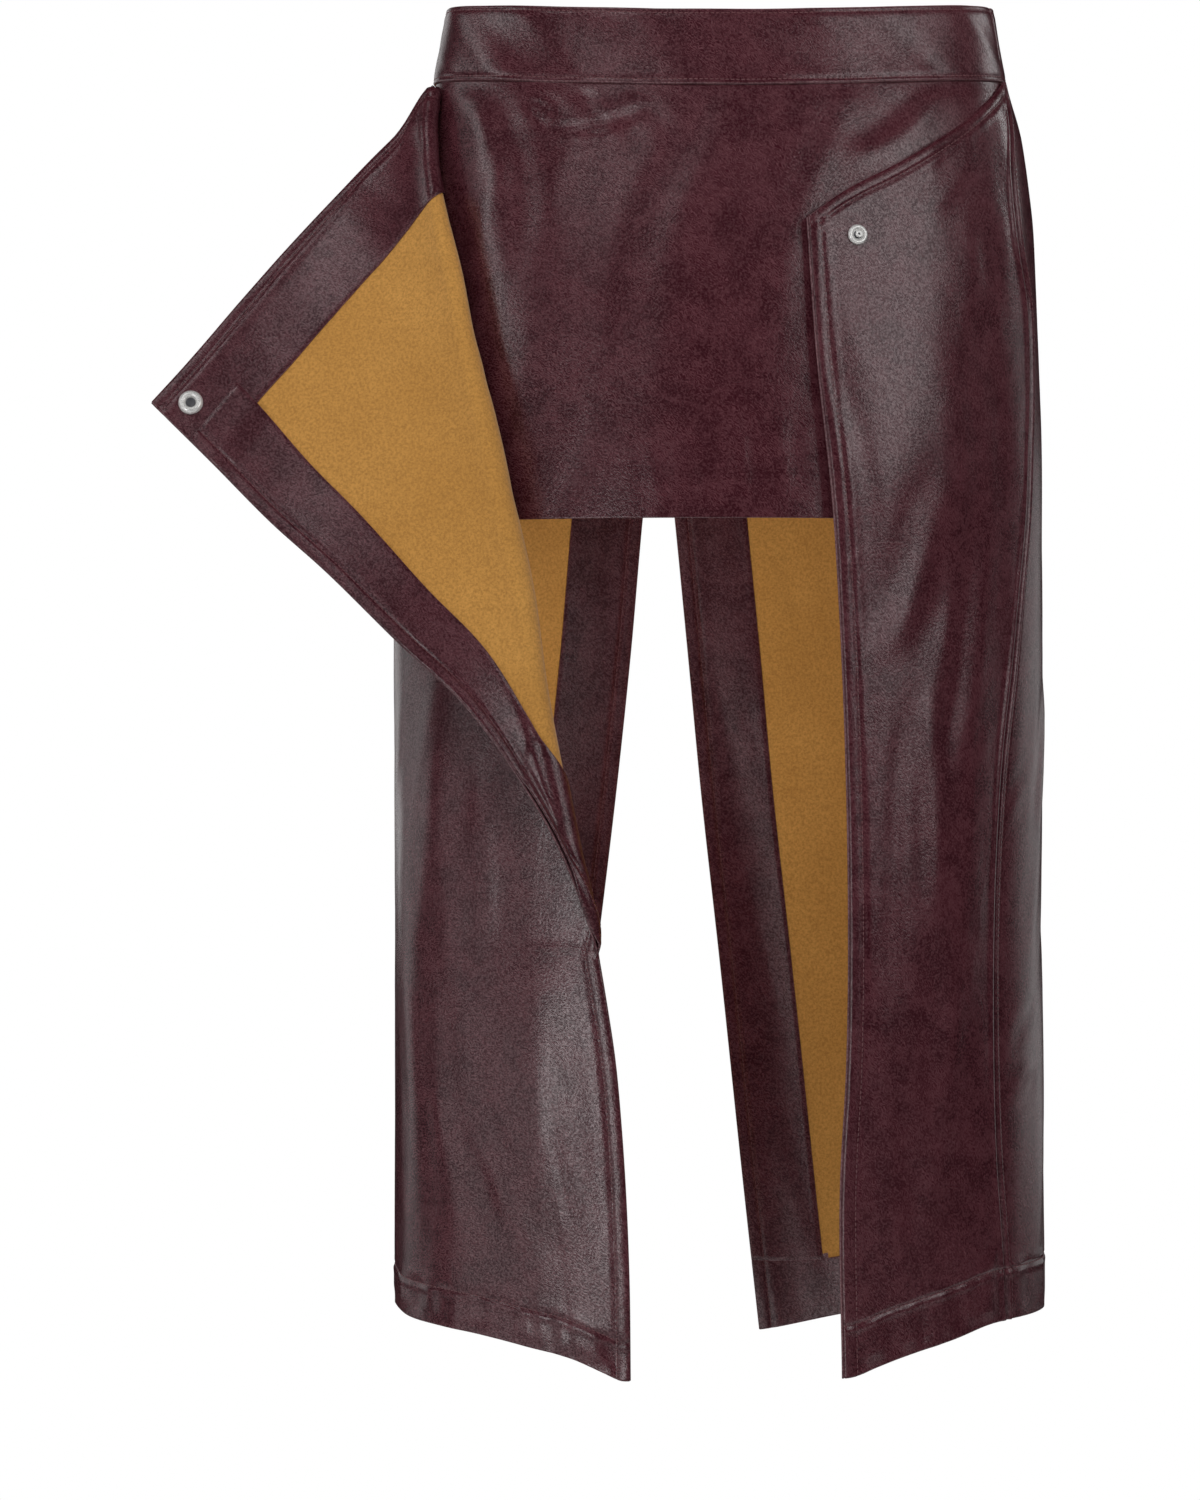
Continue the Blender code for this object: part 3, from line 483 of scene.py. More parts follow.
# Swells and dips across a seam or a row of stitches: height, place from the
# seam or the stitches, half width.
EDGE_SWELLS = ((-0.0008, 0.0, 0.0008), (0.00035, 0.0040, 0.0026))
HEM_SWELLS = ((0.0003, -0.0030, 0.0020), (0.0002, 0.0026, 0.0020), (-0.0005, 0.0, 0.0011))
SEAM_SWELLS = ((0.0008, 0.0030, 0.0020), (-0.0008, 0.0, 0.0011))
WELT_SWELLS = ((0.0018, 0.0024, 0.0013), (-0.0012, STITCH_SEAM, 0.0010), (-0.0008, 0.0, 0.0008))
BAND_SWELLS = ((-0.0003, 0.0, 0.0008),)
BAND_END_SWELLS = ((-0.0004, 0.0, 0.0012),)
EDGE_PUFF = 0.0007            # between a turned edge and its stitches
BAND_PUFF = 0.00035
BAND_PUFF_RISE = 0.006
PUCKER = 0.00022
PUCKER_CELL = (0.0045, 0.02)
PUCKER_REACH = 0.0035
RIPPLE = 0.0013
RIPPLE_CELL = (0.012, 0.060)
RIPPLE_FADE = 0.010
RIPPLE_PAST_STITCH = 0.006


def swells(distance, rows):
    return sum(height * bell(distance - place, width) for height, place, width in rows)


def sewn_edge(distance, stitch):
    """Relief beside a turned edge: puffed to the stitch, which pulls it in."""
    puff = EDGE_PUFF * np.sin(np.pi * np.clip(distance / stitch, 0.0, 1.0)) ** 0.45
    return np.where(distance < stitch, puff, 0.0) + swells(distance - stitch, EDGE_SWELLS)


def puckers(along, distance, stitch, seed):
    """Small ripples that a row of stitches draws up."""
    return PUCKER * wander(along, distance, PUCKER_CELL, seed) \
        * bell(distance - stitch, PUCKER_REACH)


def sewn_hem(across, from_hem, stitch, seed):
    """Upright ripples between the hem and its stitches, which pull it in."""
    inside = smooth(from_hem / RIPPLE_FADE) \
        * smooth((stitch + RIPPLE_PAST_STITCH - from_hem) / RIPPLE_FADE)
    return RIPPLE * wander(across, from_hem, RIPPLE_CELL, seed) * inside \
        + swells(from_hem - stitch, HEM_SWELLS)


# ------------------------------------------------------------ materials

class Nodes:
    """A material under construction."""

    def __init__(self, name):
        self.material = bpy.data.materials.new(name)
        self.material.use_nodes = True
        self.tree = self.material.node_tree
        self.shader = self.tree.nodes["Principled BSDF"]

    def add(self, kind, inputs=None, **settings):
        node = self.tree.nodes.new("ShaderNode" + kind)
        for key, value in settings.items():
            setattr(node, key, value)
        for key, value in (inputs or {}).items():
            self.put(node.inputs[key], value)
        return node

    def put(self, socket, value):
        if isinstance(value, bpy.types.NodeSocket):
            self.tree.links.new(value, socket)
        else:
            socket.default_value = value

    def shade(self, **values):
        for key, value in values.items():
            self.put(self.shader.inputs[key.replace("_", " ")], value)

    def math(self, operation, a, b=0.0):
        return self.add("Math", {0: a, 1: b, 2: 0.0}, operation=operation).outputs[0]

    def times(self, a, b):
        return self.math("MULTIPLY", a, b)

    def plus(self, a, b):
        return self.math("ADD", a, b)

    def object_place(self):
        return self.add("TexCoord").outputs["Object"]

    def noise(self, vector, scale, detail=2.0, roughness=0.5):
        node = self.add("TexNoise", {"Vector": vector, "Scale": scale, "Detail": detail,
                                     "Roughness": roughness})
        return node.outputs["Fac"]

    def wrinkles(self, vector, scale):
        """Short curled strokes, whose direction changes from place to place."""
        node = self.add("TexWave", {"Vector": vector, "Scale": scale, "Distortion": 12.0,
                                    "Detail": 1.0, "Detail Scale": 290.0 / scale},
                        bands_direction="DIAGONAL")
        return node.outputs["Fac"]

    def ramp(self, value, low, high, to_low=0.0, to_high=1.0):
        return self.add("MapRange", {0: value, 1: low, 2: high, 3: to_low, 4: to_high}).outputs[0]

    def mix(self, factor, a, b):
        return self.add("Mix", {0: factor, 6: a, 7: b}, data_type="RGBA").outputs[2]

    def bump(self, strength, distance, height):
        node = self.add("Bump", {"Strength": strength, "Distance": distance, "Height": height})
        return node.outputs[0]


def leather(name, dark, light, worn, roughness, grain=1.0):
    """Glossy leather with a fine grain, wrinkle clusters and cloudy colour."""
    n = Nodes(name)
    place = n.object_place()
    cloud = n.ramp(n.noise(place, 9.0, 3.0, 0.6), 0.30, 0.72)
    patch = n.noise(place, 44.0, 2.0, 0.6)
    where = n.ramp(patch, 0.40, 0.60, 0.25, 1.0)
    grains = n.noise(place, 760.0, 1.0, 0.6)
    wrinkle = n.wrinkles(place, 350.0)

    colour = n.mix(n.times(cloud, 0.50), dark, light)
    colour = n.mix(n.ramp(patch, 0.42, 0.66, 0.0, 0.65), colour, light)
    vein = n.math("ABSOLUTE", n.math("SUBTRACT", n.noise(place, 26.0, 5.0, 0.72), 0.5))
    colour = n.mix(n.ramp(vein, 0.0, 0.035, 0.34, 0.0), colour, worn)
    wrinkled = n.times(n.ramp(wrinkle, 0.58, 0.98), where)
    mark = n.plus(wrinkled, n.ramp(grains, 0.45, 0.62, 0.0, 0.55))
    colour = n.mix(n.times(mark, 0.80), colour, worn)

    height = n.plus(n.times(wrinkle, 0.20), n.times(grains, 1.2 * grain))
    gloss = n.times(n.ramp(grains, 0.38, 0.62, 0.50, 1.0), n.ramp(wrinkle, 0.0, 1.0, 0.75, 1.0))
    n.shade(Base_Color=colour, Roughness=n.plus(roughness, n.times(cloud, 0.04)),
            Normal=n.bump(0.15, 0.0006, height), Specular_IOR_Level=gloss)
    return n.material


def suede(name):
    """The tan flesh side: matt, fibrous, slightly mottled."""
    n = Nodes(name)
    place = n.object_place()
    cloud = n.noise(place, 14.0, 4.0, 0.6)
    nap = n.noise(place, 640.0, 3.0, 0.7)
    leaning = n.add("Mapping", {"Vector": place, "Rotation": (0.0, 0.3, 0.2),
                                "Scale": (1.0, 1.0, 0.35)}).outputs[0]
    fibre = n.noise(leaning, 1700.0, 2.0, 0.6)
    colour = n.mix(n.ramp(cloud, 0.3, 0.7), (0.535, 0.260, 0.059, 1.0), (0.630, 0.318, 0.078, 1.0))
    colour = n.mix(n.ramp(nap, 0.38, 0.66, 0.0, 0.62), colour, (0.290, 0.132, 0.030, 1.0))
    height = n.plus(n.times(nap, 0.7), n.times(fibre, 0.5))
    n.shade(Base_Color=colour, Roughness=n.ramp(nap, 0.3, 0.7, 0.82, 0.95),
            Normal=n.bump(0.5, 0.0005, height), Specular_IOR_Level=0.15,
            Sheen_Weight=0.25, Sheen_Roughness=0.5)
    return n.material


def thread(name, colour):
    n = Nodes(name)
    twist = n.noise(n.object_place(), 2600.0, 2.0)
    shaded = tuple(0.6 * c for c in colour[:3]) + (1.0,)
    n.shade(Base_Color=n.mix(twist, colour, shaded), Roughness=0.55,
            Normal=n.bump(0.4, 0.0002, twist))
    return n.material


def polished(name, colour, roughness):
    n = Nodes(name)
    scuff = n.noise(n.object_place(), 1500.0, 3.0)
    n.shade(Base_Color=colour, Metallic=0.45,
            Roughness=n.ramp(scuff, 0.3, 0.8, roughness, roughness + 0.14))
    return n.material


DARK = (0.031, 0.0040, 0.0078, 1.0)
LIGHT = (0.052, 0.0085, 0.0140, 1.0)
WORN = (0.125, 0.0400, 0.0500, 1.0)
OUTSIDE = leather("burgundy_grain", DARK, LIGHT, WORN, 0.25)
LINING = leather("burgundy_facing", (0.029, 0.0042, 0.0078, 1.0), (0.043, 0.0068, 0.0115, 1.0),
                 WORN, 0.27, 1.2)
# Material of the cut edges: lighter than the leather, partly the edge's own tone and partly a
# painted highlight for the bright lines along rims and facing edges.
EDGE_TONE_AND_PAINTED_HIGHLIGHT = leather("burgundy_edge_and_painted_highlight", (0.060, 0.020, 0.026, 1.0), WORN, (0.21, 0.10, 0.11, 1.0),
                   0.32)
TAN = suede("tan_suede")
THREAD = thread("burgundy_thread", (0.200, 0.080, 0.088, 1.0))
NICKEL = polished("nickel", (0.86, 0.85, 0.83, 1.0), 0.24)
# Dark metal on the snaps' hollows (the stud's dimple and groove, the socket's hole floor) is painted
# shade there.
HOLLOW_SHADE_METAL = polished("painted_shade_metal", (0.10, 0.10, 0.11, 1.0), 0.35)


# --------------------------------------------------------------- pieces

def mesh_object(name, verts, faces, materials, indices=None, uv=None):
    mesh = bpy.data.meshes.new(name)
    mesh.from_pydata(np.asarray(verts).tolist(), [], faces)
    for each in materials:
        mesh.materials.append(each)
    if indices is not None:
        mesh.polygons.foreach_set("material_index", np.asarray(indices, np.int32))
    if uv is not None:
        layer = mesh.uv_layers.new(name="UVMap")
        corners = np.zeros(len(mesh.loops), np.int32)
        mesh.loops.foreach_get("vertex_index", corners)
        layer.data.foreach_set("uv", uv[corners].astype(np.float32).ravel())
    mesh.shade_smooth()
    mesh.update()
    made = bpy.data.objects.new(name, mesh)
    bpy.context.scene.collection.objects.link(made)
    return made


RIM_TURNS = (0.25, 0.5, 0.75)  # where round the half circle of a rim its rows lie
RIM_BULGE = 0.3


def shell(name, points, wall, outside, inside, rim, covered=None):
    """A closed wall of leather with rounded rims, from its middle surface.
    covered marks the cells of the inside that lie under another piece."""
    rows, columns = points.shape[:2]
    out = normals(points)
    uv = np.stack((lengths(points, 1), -lengths(points, 0)), -1).reshape(-1, 2)
    number = np.arange(rows * columns).reshape(rows, columns)
    a, b = number[:-1, :-1].ravel(), number[:-1, 1:].ravel()
    c, d = number[1:, 1:].ravel(), number[1:, :-1].ravel()
    faces = [np.stack((a, b, c, d), -1), np.stack((d, c, b, a), -1) + rows * columns]
    loop = np.concatenate((number[0, :-1], number[:-1, -1], number[-1, :0:-1], number[:0:-1, 0]))
    inner = np.concatenate((number[1, :-1], number[:-1, -2], number[-2, :0:-1], number[:0:-1, 1]))
    flat = points.reshape(-1, 3)
    side = flat[loop] - flat[inner]
    up = out.reshape(-1, 3)[loop]
    side = unit(side - up * np.sum(side * up, -1, keepdims=True))
    verts = [(points + out * wall / 2).reshape(-1, 3), (points - out * wall / 2).reshape(-1, 3)]
    chain = [loop]
    start = 2 * rows * columns
    for turn in RIM_TURNS:
        angle = math.pi * turn
        verts.append(flat[loop] + wall / 2 * math.cos(angle) * up
                     + wall * RIM_BULGE * math.sin(angle) * side)
        chain.append(start + np.arange(len(loop)))
        start += len(loop)
    chain.append(loop + rows * columns)
    for upper, lower in zip(chain, chain[1:]):
        faces.append(np.stack((np.roll(upper, -1), upper, lower, np.roll(lower, -1)), -1))
    under = np.ones((rows - 1, columns - 1), int)
    if covered is not None:
        under[covered[:-1, :-1] & covered[1:, 1:]] = 2
    kinds = [0] * len(a) + list(under.ravel()) + [2] * (len(loop) * (len(RIM_TURNS) + 1))
    uv = np.concatenate([uv, uv] + [uv[loop]] * len(RIM_TURNS))
    return mesh_object(name, np.concatenate(verts), np.concatenate(faces).tolist(),
                       (outside, inside, rim), kinds, uv)


def resampled(line, normal, pitch):
    """Places, directions and normals every pitch along a line."""
    run = lengths(line, 0)
    count = max(int(run[-1] / pitch), 2)
    at = np.linspace(0.0, run[-1], count + 1)
    place = np.stack([np.interp(at, run, line[:, k]) for k in range(3)], -1)
    up = unit(np.stack([np.interp(at, run, normal[:, k]) for k in range(3)], -1))
    return place, unit(np.gradient(place, axis=0)), up


STITCH_PITCH = 0.0031
STITCH_LENGTH = 0.0023
STITCH_RADIUS = 0.00032
STITCH_FLAT = 0.8
STITCH_SIDES = 6
# Rings of a stitch: place in its length, thickness, rise off the leather.
STITCH_RINGS = ((-0.50, 0.25, -0.5), (-0.40, 0.85, 0.1), (0.0, 1.0, 0.45), (0.40, 0.85, 0.1),
                (0.50, 0.25, -0.5))


def stitches(lines):
    """Vertices and faces of sewn stitches along (line, normal) pairs."""
    verts, faces = [], []
    turn = np.linspace(0.0, 2 * np.pi, STITCH_SIDES, endpoint=False)
    for line, normal in lines:
        place, along, up = resampled(line, normal, STITCH_PITCH)
        place = 0.5 * (place[1:] + place[:-1])
        along, up = along[1:], up[1:]
        side = unit(np.cross(along, up))
        up = np.cross(side, along)
        for p, t, n, s in zip(place, along, up, side):
            base = len(verts)
            for step, thick, rise in STITCH_RINGS:
                middle = p + t * STITCH_LENGTH * step + n * STITCH_RADIUS * rise
                for angle in turn:
                    around = math.cos(angle) * s + STITCH_FLAT * math.sin(angle) * n
                    verts.append(middle + STITCH_RADIUS * thick * around)
            for ring in range(len(STITCH_RINGS) - 1):
                for k in range(STITCH_SIDES):
                    m = (k + 1) % STITCH_SIDES
                    low = base + ring * STITCH_SIDES
                    faces.append((low + k, low + m, low + STITCH_SIDES + m, low + STITCH_SIDES + k))
            faces.append(tuple(base + k for k in reversed(range(STITCH_SIDES))))
            last = base + (len(STITCH_RINGS) - 1) * STITCH_SIDES
            faces.append(tuple(last + k for k in range(STITCH_SIDES)))
    return verts, faces


def settle(made):
    """Every piece rides on the one body that the skirt is."""
    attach(made, "root")


def thread_piece(name, lines):
    verts, faces = stitches(lines)
    settle(mesh_object(name, verts, faces, (THREAD,)))


def line_down(points, wall, side, distance, start, stop, from_last=False, turned=False):
    """A line on a sheet's face, with its normals: down the rows start to
    stop, at a distance from the first or last column. Turned, it runs across
    the columns, at a distance from the first or last row."""
    out = normals(points) * side
    if turned:
        points, out = points.transpose(1, 0, 2), out.transpose(1, 0, 2)
    face = points + out * wall / 2
    run = lengths(points, 1)
    if from_last:
        run = run[:, -1:] - run
        run, face, out = run[:, ::-1], face[:, ::-1], out[:, ::-1]
    distance = np.broadcast_to(distance, len(points))
    return [np.array([[np.interp(distance[row], run[row], grid[row, :, k]) for k in range(3)]
                      for row in range(start, stop)]) for grid in (face, out)]


def line_across(*places, from_last=False):
    return line_down(*places, from_last, turned=True)


def dress(node, points, wall, outside, inside, covered=None):
    """The leather piece that stands for a CAD node."""
    made = shell(node + "_leather", points, wall, outside, inside, EDGE_TONE_AND_PAINTED_HIGHLIGHT, covered)
    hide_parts(node)
    settle(made)


def face_inside(node, points):
    """A facing or a hem allowance inside a panel."""
    # A facing's outer face takes the edge material, whose lighter colour is partly a painted
    # highlight where it shows past an edge.
    dress(node, points, FACING_WALL, EDGE_TONE_AND_PAINTED_HIGHLIGHT, LINING)


# --------------------------------------------------------------- panels

def hung_panel(name, shares, column_angle, top, hem, out):
    """Grid, angles and heights of a panel that follows the form, and the
    rows at which its top facing ends and its hem allowance begins. top and
    hem give heights for angles, column_angle an angle for shares and heights,
    out the distance off the form."""
    upper = np.full(len(shares), TOP_ABOUT)
    for _ in range(4):
        upper = top(column_angle(shares, upper))
    lower = hem(column_angle(shares, np.full(len(shares), HEM_ABOUT)))
    faced = graded(TOP_FACING, last=False)[:, None]
    body = np.linspace(0.0, 1.0, int(PANEL_BODY / PITCH))[1:, None]
    depth = HEM_DEPTH(name, shares)
    turned = graded(depth.max())[1:, None] / depth.max()
    height = np.concatenate((
        upper - faced,
        (upper - TOP_FACING) + (lower + depth - upper + TOP_FACING) * body,
        lower + depth * (1.0 - turned)))
    angle = column_angle(shares, height)
    points = on_form(angle, height, out(angle, height) + fold_lift(name, angle, height))
    return points, angle, height, len(faced) - 1, len(faced) - 1 + len(body)


def shares_for(first, second):
    """Shares 0 to 1 and 1 to 2 for two strips of these widths."""
    a = graded(first, last=False) / first
    b = graded(second, first=False)[1:] / second
    return np.concatenate((a, 1.0 + b)), len(a) - 1


EDGES = {"first": (np.s_[:, 0], np.s_[:, 1]), "last": (np.s_[:, -1], np.s_[:, -2]),
         "top": (0, 1), "bottom": (-1, -2)}


def pulled_in(points, **distances):
    """Draw the named edges of a grid in, or out by a distance below zero."""
    points = points.copy()
    for name, distance in distances.items():
        edge, inner = EDGES[name]
        points[edge] += unit(points[inner] - points[edge]) * distance
    return points


def with_relief(points, relief):
    """A grid moved out along its normals."""
    return points + normals(points) * np.broadcast_to(relief, points.shape[:2])[..., None]


LINING_DEPTH = WALL / 2 + LAYER_GAP + FACING_WALL / 2


def lining(points, relief=0.0, extra=0.0):
    """A panel's middle surface moved inside, for what lies there."""
    return with_relief(points, -(LINING_DEPTH + relief + extra))


def make_band():
    right = float(RIGHT_SEAM("angle", BAND_RISE))
    for name, start, end in (("waistband_front", right, LEFT_SEAM),
                             ("waistband_back", LEFT_SEAM, 360.0 + right)):
        count = int((end - start) * DEGREE / PITCH)
        angle = np.linspace(start, end, count)[None, :]
        trim = BAND_WALL * RIM_BULGE
        down = graded(2 * BAND_HALF - 2 * trim)[:, None]
        height = waist_dip(angle) + BAND_HALF - trim - down
        points = on_form(angle, height, BAND_INSET)
        points = pulled_in(points, first=BAND_END_TRIM, last=BAND_END_TRIM)
        u, v = lengths(points, 1), lengths(points, 0)
        from_rim = np.minimum(v, v[-1:] - v)
        from_end = np.minimum(u, u[:, -1:] - u)
        relief = BAND_PUFF * smooth(from_rim / BAND_PUFF_RISE) + soft_relief(name, u, v) \
            + swells(from_rim - STITCH_BAND, BAND_SWELLS) + swells(from_end, BAND_END_SWELLS)
        points = with_relief(points, relief)
        dress(name, points, BAND_WALL, OUTSIDE, LINING)
        thread_piece(name + "_thread", [
            line_across(points, BAND_WALL, 1, STITCH_BAND, 1, count - 1, from_last=lower)
            for lower in (False, True)])


def make_apron():
    columns = graded(APRON_WIDTH) / APRON_WIDTH
    downs = graded(APRON_LENGTH) / APRON_LENGTH
    first = RIGHT_SEAM("angle", -0.25 * downs)[:, None] + APRON_PAST_SEAM
    angle = first + (APRON_LEFT_END - first) * columns[None, :]
    top = under_band(angle)
    height = top + (APRON_HEM - top) * downs[:, None]
    points = on_form(angle, height, APRON_INSET + fold_lift("front_apron", angle, height))
    u, v = lengths(points, 1), lengths(points, 0)
    relief = soft_relief("front_apron", u, v) + crease_lift("front_apron", points[..., 0], height)
    points = with_relief(points, relief * smooth(v / EDGE_FADE))
    dress("front_apron", points, WALL, OUTSIDE, TAN)


def make_right_flap():
    def edge(height):
        return RIGHT_EDGE("angle", height)

    def column_angle(share, height):
        seam = RIGHT_SEAM("angle", height)
        facing = degrees_for(FACING_WIDTH, edge(height) - FACING_MIDDLE, height)
        share = np.broadcast_to(share, height.shape)
        return np.where(share <= 1.0, seam + (edge(height) - facing - seam) * share,
                        edge(height) - facing * (2.0 - share))

    def out(angle, height):
        near = 1.0 - (edge(height) - angle) / FLAP_LIFT_REACH
        return panel_lift(height) + RIGHT_EDGE("lift", height) * smooth(near)

    def top(angle):
        return np.minimum(RIGHT_TOP("height", angle), under_band(angle))

    shares, facing = shares_for(FLAP_WIDTH, FACING_WIDTH)
    points, _, height, top_end, hem_start = hung_panel(
        "right_flap", shares, column_angle, top, lambda a: RIGHT_HEM("height", a), out)
    points = pulled_in(points, first=SEAM_GAP / 2)
    u, v = lengths(points, 1), lengths(points, 0)
    from_edge = u[:, -1:] - u
    relief = soft_relief("right_flap", u, v) + crease_lift("right_flap", points[..., 0], height)
    base = with_relief(points, relief * smooth(u / SEAM_FADE) * smooth(from_edge / EDGE_FADE))
    sewn = np.maximum(sewn_edge(from_edge, STITCH_FREE), sewn_edge(v, STITCH_TOP))
    hem_stitch = HEM_DEPTH("right_flap", shares) - HEM_STITCH
    sewn = sewn + puckers(v, from_edge, STITCH_FREE, 3) + puckers(u, v, STITCH_TOP, 4) \
        + sewn_hem(u, v[-1:] - v, hem_stitch, 5) + swells(u, SEAM_SWELLS)
    outer = with_relief(base, sewn)
    covered = np.zeros(outer.shape[:2], bool)
    covered[:top_end + 1] = True
    covered[hem_start:] = True
    covered[:, facing:] = True
    dress("right_flap", outer, WALL, OUTSIDE, TAN, covered)

    inside = lining(base, sewn_edge(from_edge, STITCH_FREE))
    face_inside("right_flap_top_facing",
                pulled_in(inside[:top_end + 1, SEAM_LINES:], last=-FACING_PROUD))
    face_inside("right_flap_edge_facing",
                pulled_in(inside[top_end:, facing:], top=SEAM_GAP, last=-FACING_PROUD))
    face_inside("right_flap_hem", pulled_in(inside[hem_start:, 1:facing + 1], last=SEAM_GAP))
    rows, columns = points.shape[:2]
    thread_piece("right_flap_thread", [
        line_down(outer, WALL, 1, STITCH_FREE, STITCH_LINE, rows - 1, from_last=True),
        line_across(outer, WALL, 1, STITCH_TOP, 1, columns - STITCH_LINE),
        line_across(outer, WALL, 1, hem_stitch, 1, columns - STITCH_LINE, from_last=True)])
    return outer, inside


def make_back(name, side):
    """A back panel; side is -1 left of the slit and 1 right of it."""
    def column_angle(share, height):
        share = np.broadcast_to(share, height.shape)
        edge = slit_edge(side, height)
        facing = degrees_for(FACING_WIDTH, edge + side * FACING_MIDDLE, height)
        if side < 0:
            return np.where(share <= 1.0, LEFT_SEAM + (edge - facing - LEFT_SEAM) * share,
                            edge - facing * (2.0 - share))
        seam = 360.0 + RIGHT_SEAM("angle", height)
        return np.where(share <= 1.0, edge + facing * share,
                        edge + facing + (seam - edge - facing) * (share - 1.0))

    if side < 0:
        shares, facing = shares_for(BACK_LEFT_WIDTH, FACING_WIDTH)
        faced, hemmed = np.s_[facing:], np.s_[1:]
    else:
        shares, facing = shares_for(FACING_WIDTH, BACK_RIGHT_WIDTH)
        faced, hemmed = np.s_[:facing + 1], np.s_[:-1]
    points, angle, height, _, hem_start = hung_panel(
        name, shares, column_angle, under_band, lambda a: BACK_HEM("height", a),
        lambda a, h: panel_lift(h))
    points = pulled_in(points, first=SEAM_GAP / 2, last=SEAM_GAP / 2)
    u, v = lengths(points, 1), lengths(points, 0)
    from_slit, from_side = u, u[:, -1:] - u
    if side < 0:
        from_slit, from_side = from_side, from_slit
    relief = soft_relief(name, u, v) + crease_lift(name, angle * DEGREE, height)
    base = with_relief(points, relief * smooth(v / EDGE_FADE) * smooth(from_side / SIDE_FADE)
                       * smooth(from_slit / EDGE_FADE))
    opened = smooth((SLIT_TOP - height) / SLIT_EASE)
    hem_stitch = HEM_DEPTH(name, shares) - HEM_STITCH
    sewn = (sewn_edge(from_slit, STITCH_FREE) + puckers(v, from_slit, STITCH_FREE, 6)) * opened \
        + swells(from_slit, SEAM_SWELLS) * (1.0 - opened) + swells(from_side, WELT_SWELLS) \
        + sewn_hem(u, v[-1:] - v, hem_stitch, 7)
    outer = with_relief(base, sewn)
    vent, slit = [int(np.argmin(np.abs(height[:, facing] - at))) for at in (VENT_TOP, SLIT_TOP)]
    covered = np.zeros(outer.shape[:2], bool)
    covered[hem_start:] = True
    covered[vent:, faced] = True
    dress(name, outer, WALL, OUTSIDE, TAN, covered)

    inside = lining(base, sewn_edge(from_slit, STITCH_FREE) * opened)
    face_inside(name + "_vent_facing",
                pulled_in(inside[vent:hem_start + 1, faced], bottom=SEAM_GAP))
    face_inside(name + "_hem", inside[hem_start:, hemmed])
    rows, columns = points.shape[:2]
    thread_piece(name + "_thread", [
        line_down(outer, WALL, 1, STITCH_FREE, slit, rows - 1, from_last=side < 0),
        line_down(inside, FACING_WALL, -1, STITCH_FREE, slit, rows - 1, from_last=side < 0),
        line_down(outer, WALL, 1, STITCH_SEAM, 2, rows - 1, from_last=side > 0),
        line_across(outer, WALL, 1, hem_stitch, STITCH_LINE, columns - STITCH_LINE,
                    from_last=True)])


# The left flap, a sheet whose upper corner is folded outward. Its rows are
# drawn with these numbers of points, then given the sheet's columns.
BODY_POINTS = 70
ROLL_POINTS = 41
LAPEL_POINTS = 60
HANGING_POINTS = 120


def roll_start(down):
    height = LAPEL("roll_height", down)
    return on_form(LAPEL("roll_angle", down), height,
                   panel_lift(height) + LAPEL("roll_lift", down))


def roll_frame(down):
    """Where a row's roll starts, and its directions across and outward."""
    along = unit(roll_start(min(down + 0.01, 1.0)) - roll_start(max(down - 0.01, 0.0)))
    angle, height = LAPEL("roll_angle", down), LAPEL("roll_height", down)
    outward = unit(on_form(angle, height, 0.01) - on_form(angle, height))
    across = unit(np.cross(along, outward))
    outward = unit(np.cross(across, along))
    if across[0] < 0:
        across = -across
    if outward[1] > 0:
        outward = -outward
    return roll_start(down), across, outward


def fold_fade(share, lost):
    """What is left of the soft folds towards the end of a row."""
    return 1.0 - lost * smooth((share - FOLD_FADE_FROM) / (1.0 - FOLD_FADE_FROM))


def left_row_folded(down):
    """A row above the fold's end, from the side seam over the body and the
    roll to the free edge. The top rows follow the band further."""
    top_side = under_band(LEFT_SEAM)
    side_height = top_side + (FOLD_END_SIDE - top_side) * down
    start, across, outward = roll_frame(down)
    end_angle, end_lift = LAPEL("roll_angle", down), LAPEL("roll_lift", down)
    share = np.linspace(0.0, 1.0, BODY_POINTS)
    angle = LEFT_SEAM + (end_angle - LEFT_SEAM) * share
    late = 1.0 + 3.0 * max(1.0 - down / TOP_FACING_END, 0.0)
    height = side_height + (start[2] - side_height) * share ** late
    lost = 1.0 if start[2] > FOLD_END_HEIGHT else FOLD_FADE_HANGING
    fold = fold_fade(share, lost) * fold_lift("left_flap", angle, height)
    body = on_form(angle, height, panel_lift(height) + end_lift * smooth(share) + fold)
    opened = min((1.0 - down) / UNROLL_SHARE, 1.0)
    turn = math.pi * (1.0 - (1.0 - opened) ** 3)
    radius = LAPEL("roll_radius", down)
    step = np.linspace(0.0, turn, ROLL_POINTS)[1:, None]
    roll = start + radius * (np.sin(step) * across + (1.0 - np.cos(step)) * outward)
    leaving = math.cos(turn) * across + math.sin(turn) * outward
    begin = roll[-1] if turn > 0 else start
    edge = np.array([LAPEL(name, down) for name in ("edge_x", "edge_y", "edge_z")])
    reach = np.linalg.norm(edge - begin)
    parts = [body, roll]
    if reach > 1e-6:
        first = begin + leaving * reach * LAPEL("ease", down)
        second = edge - unit(edge - first) * reach / 3
        t = np.linspace(0.0, 1.0, LAPEL_POINTS)[1:, None]
        parts.append((1 - t) ** 3 * begin + 3 * t * (1 - t) ** 2 * first
                     + 3 * t * t * (1 - t) * second + t ** 3 * edge)
    return np.concatenate(parts), len(body), len(roll)


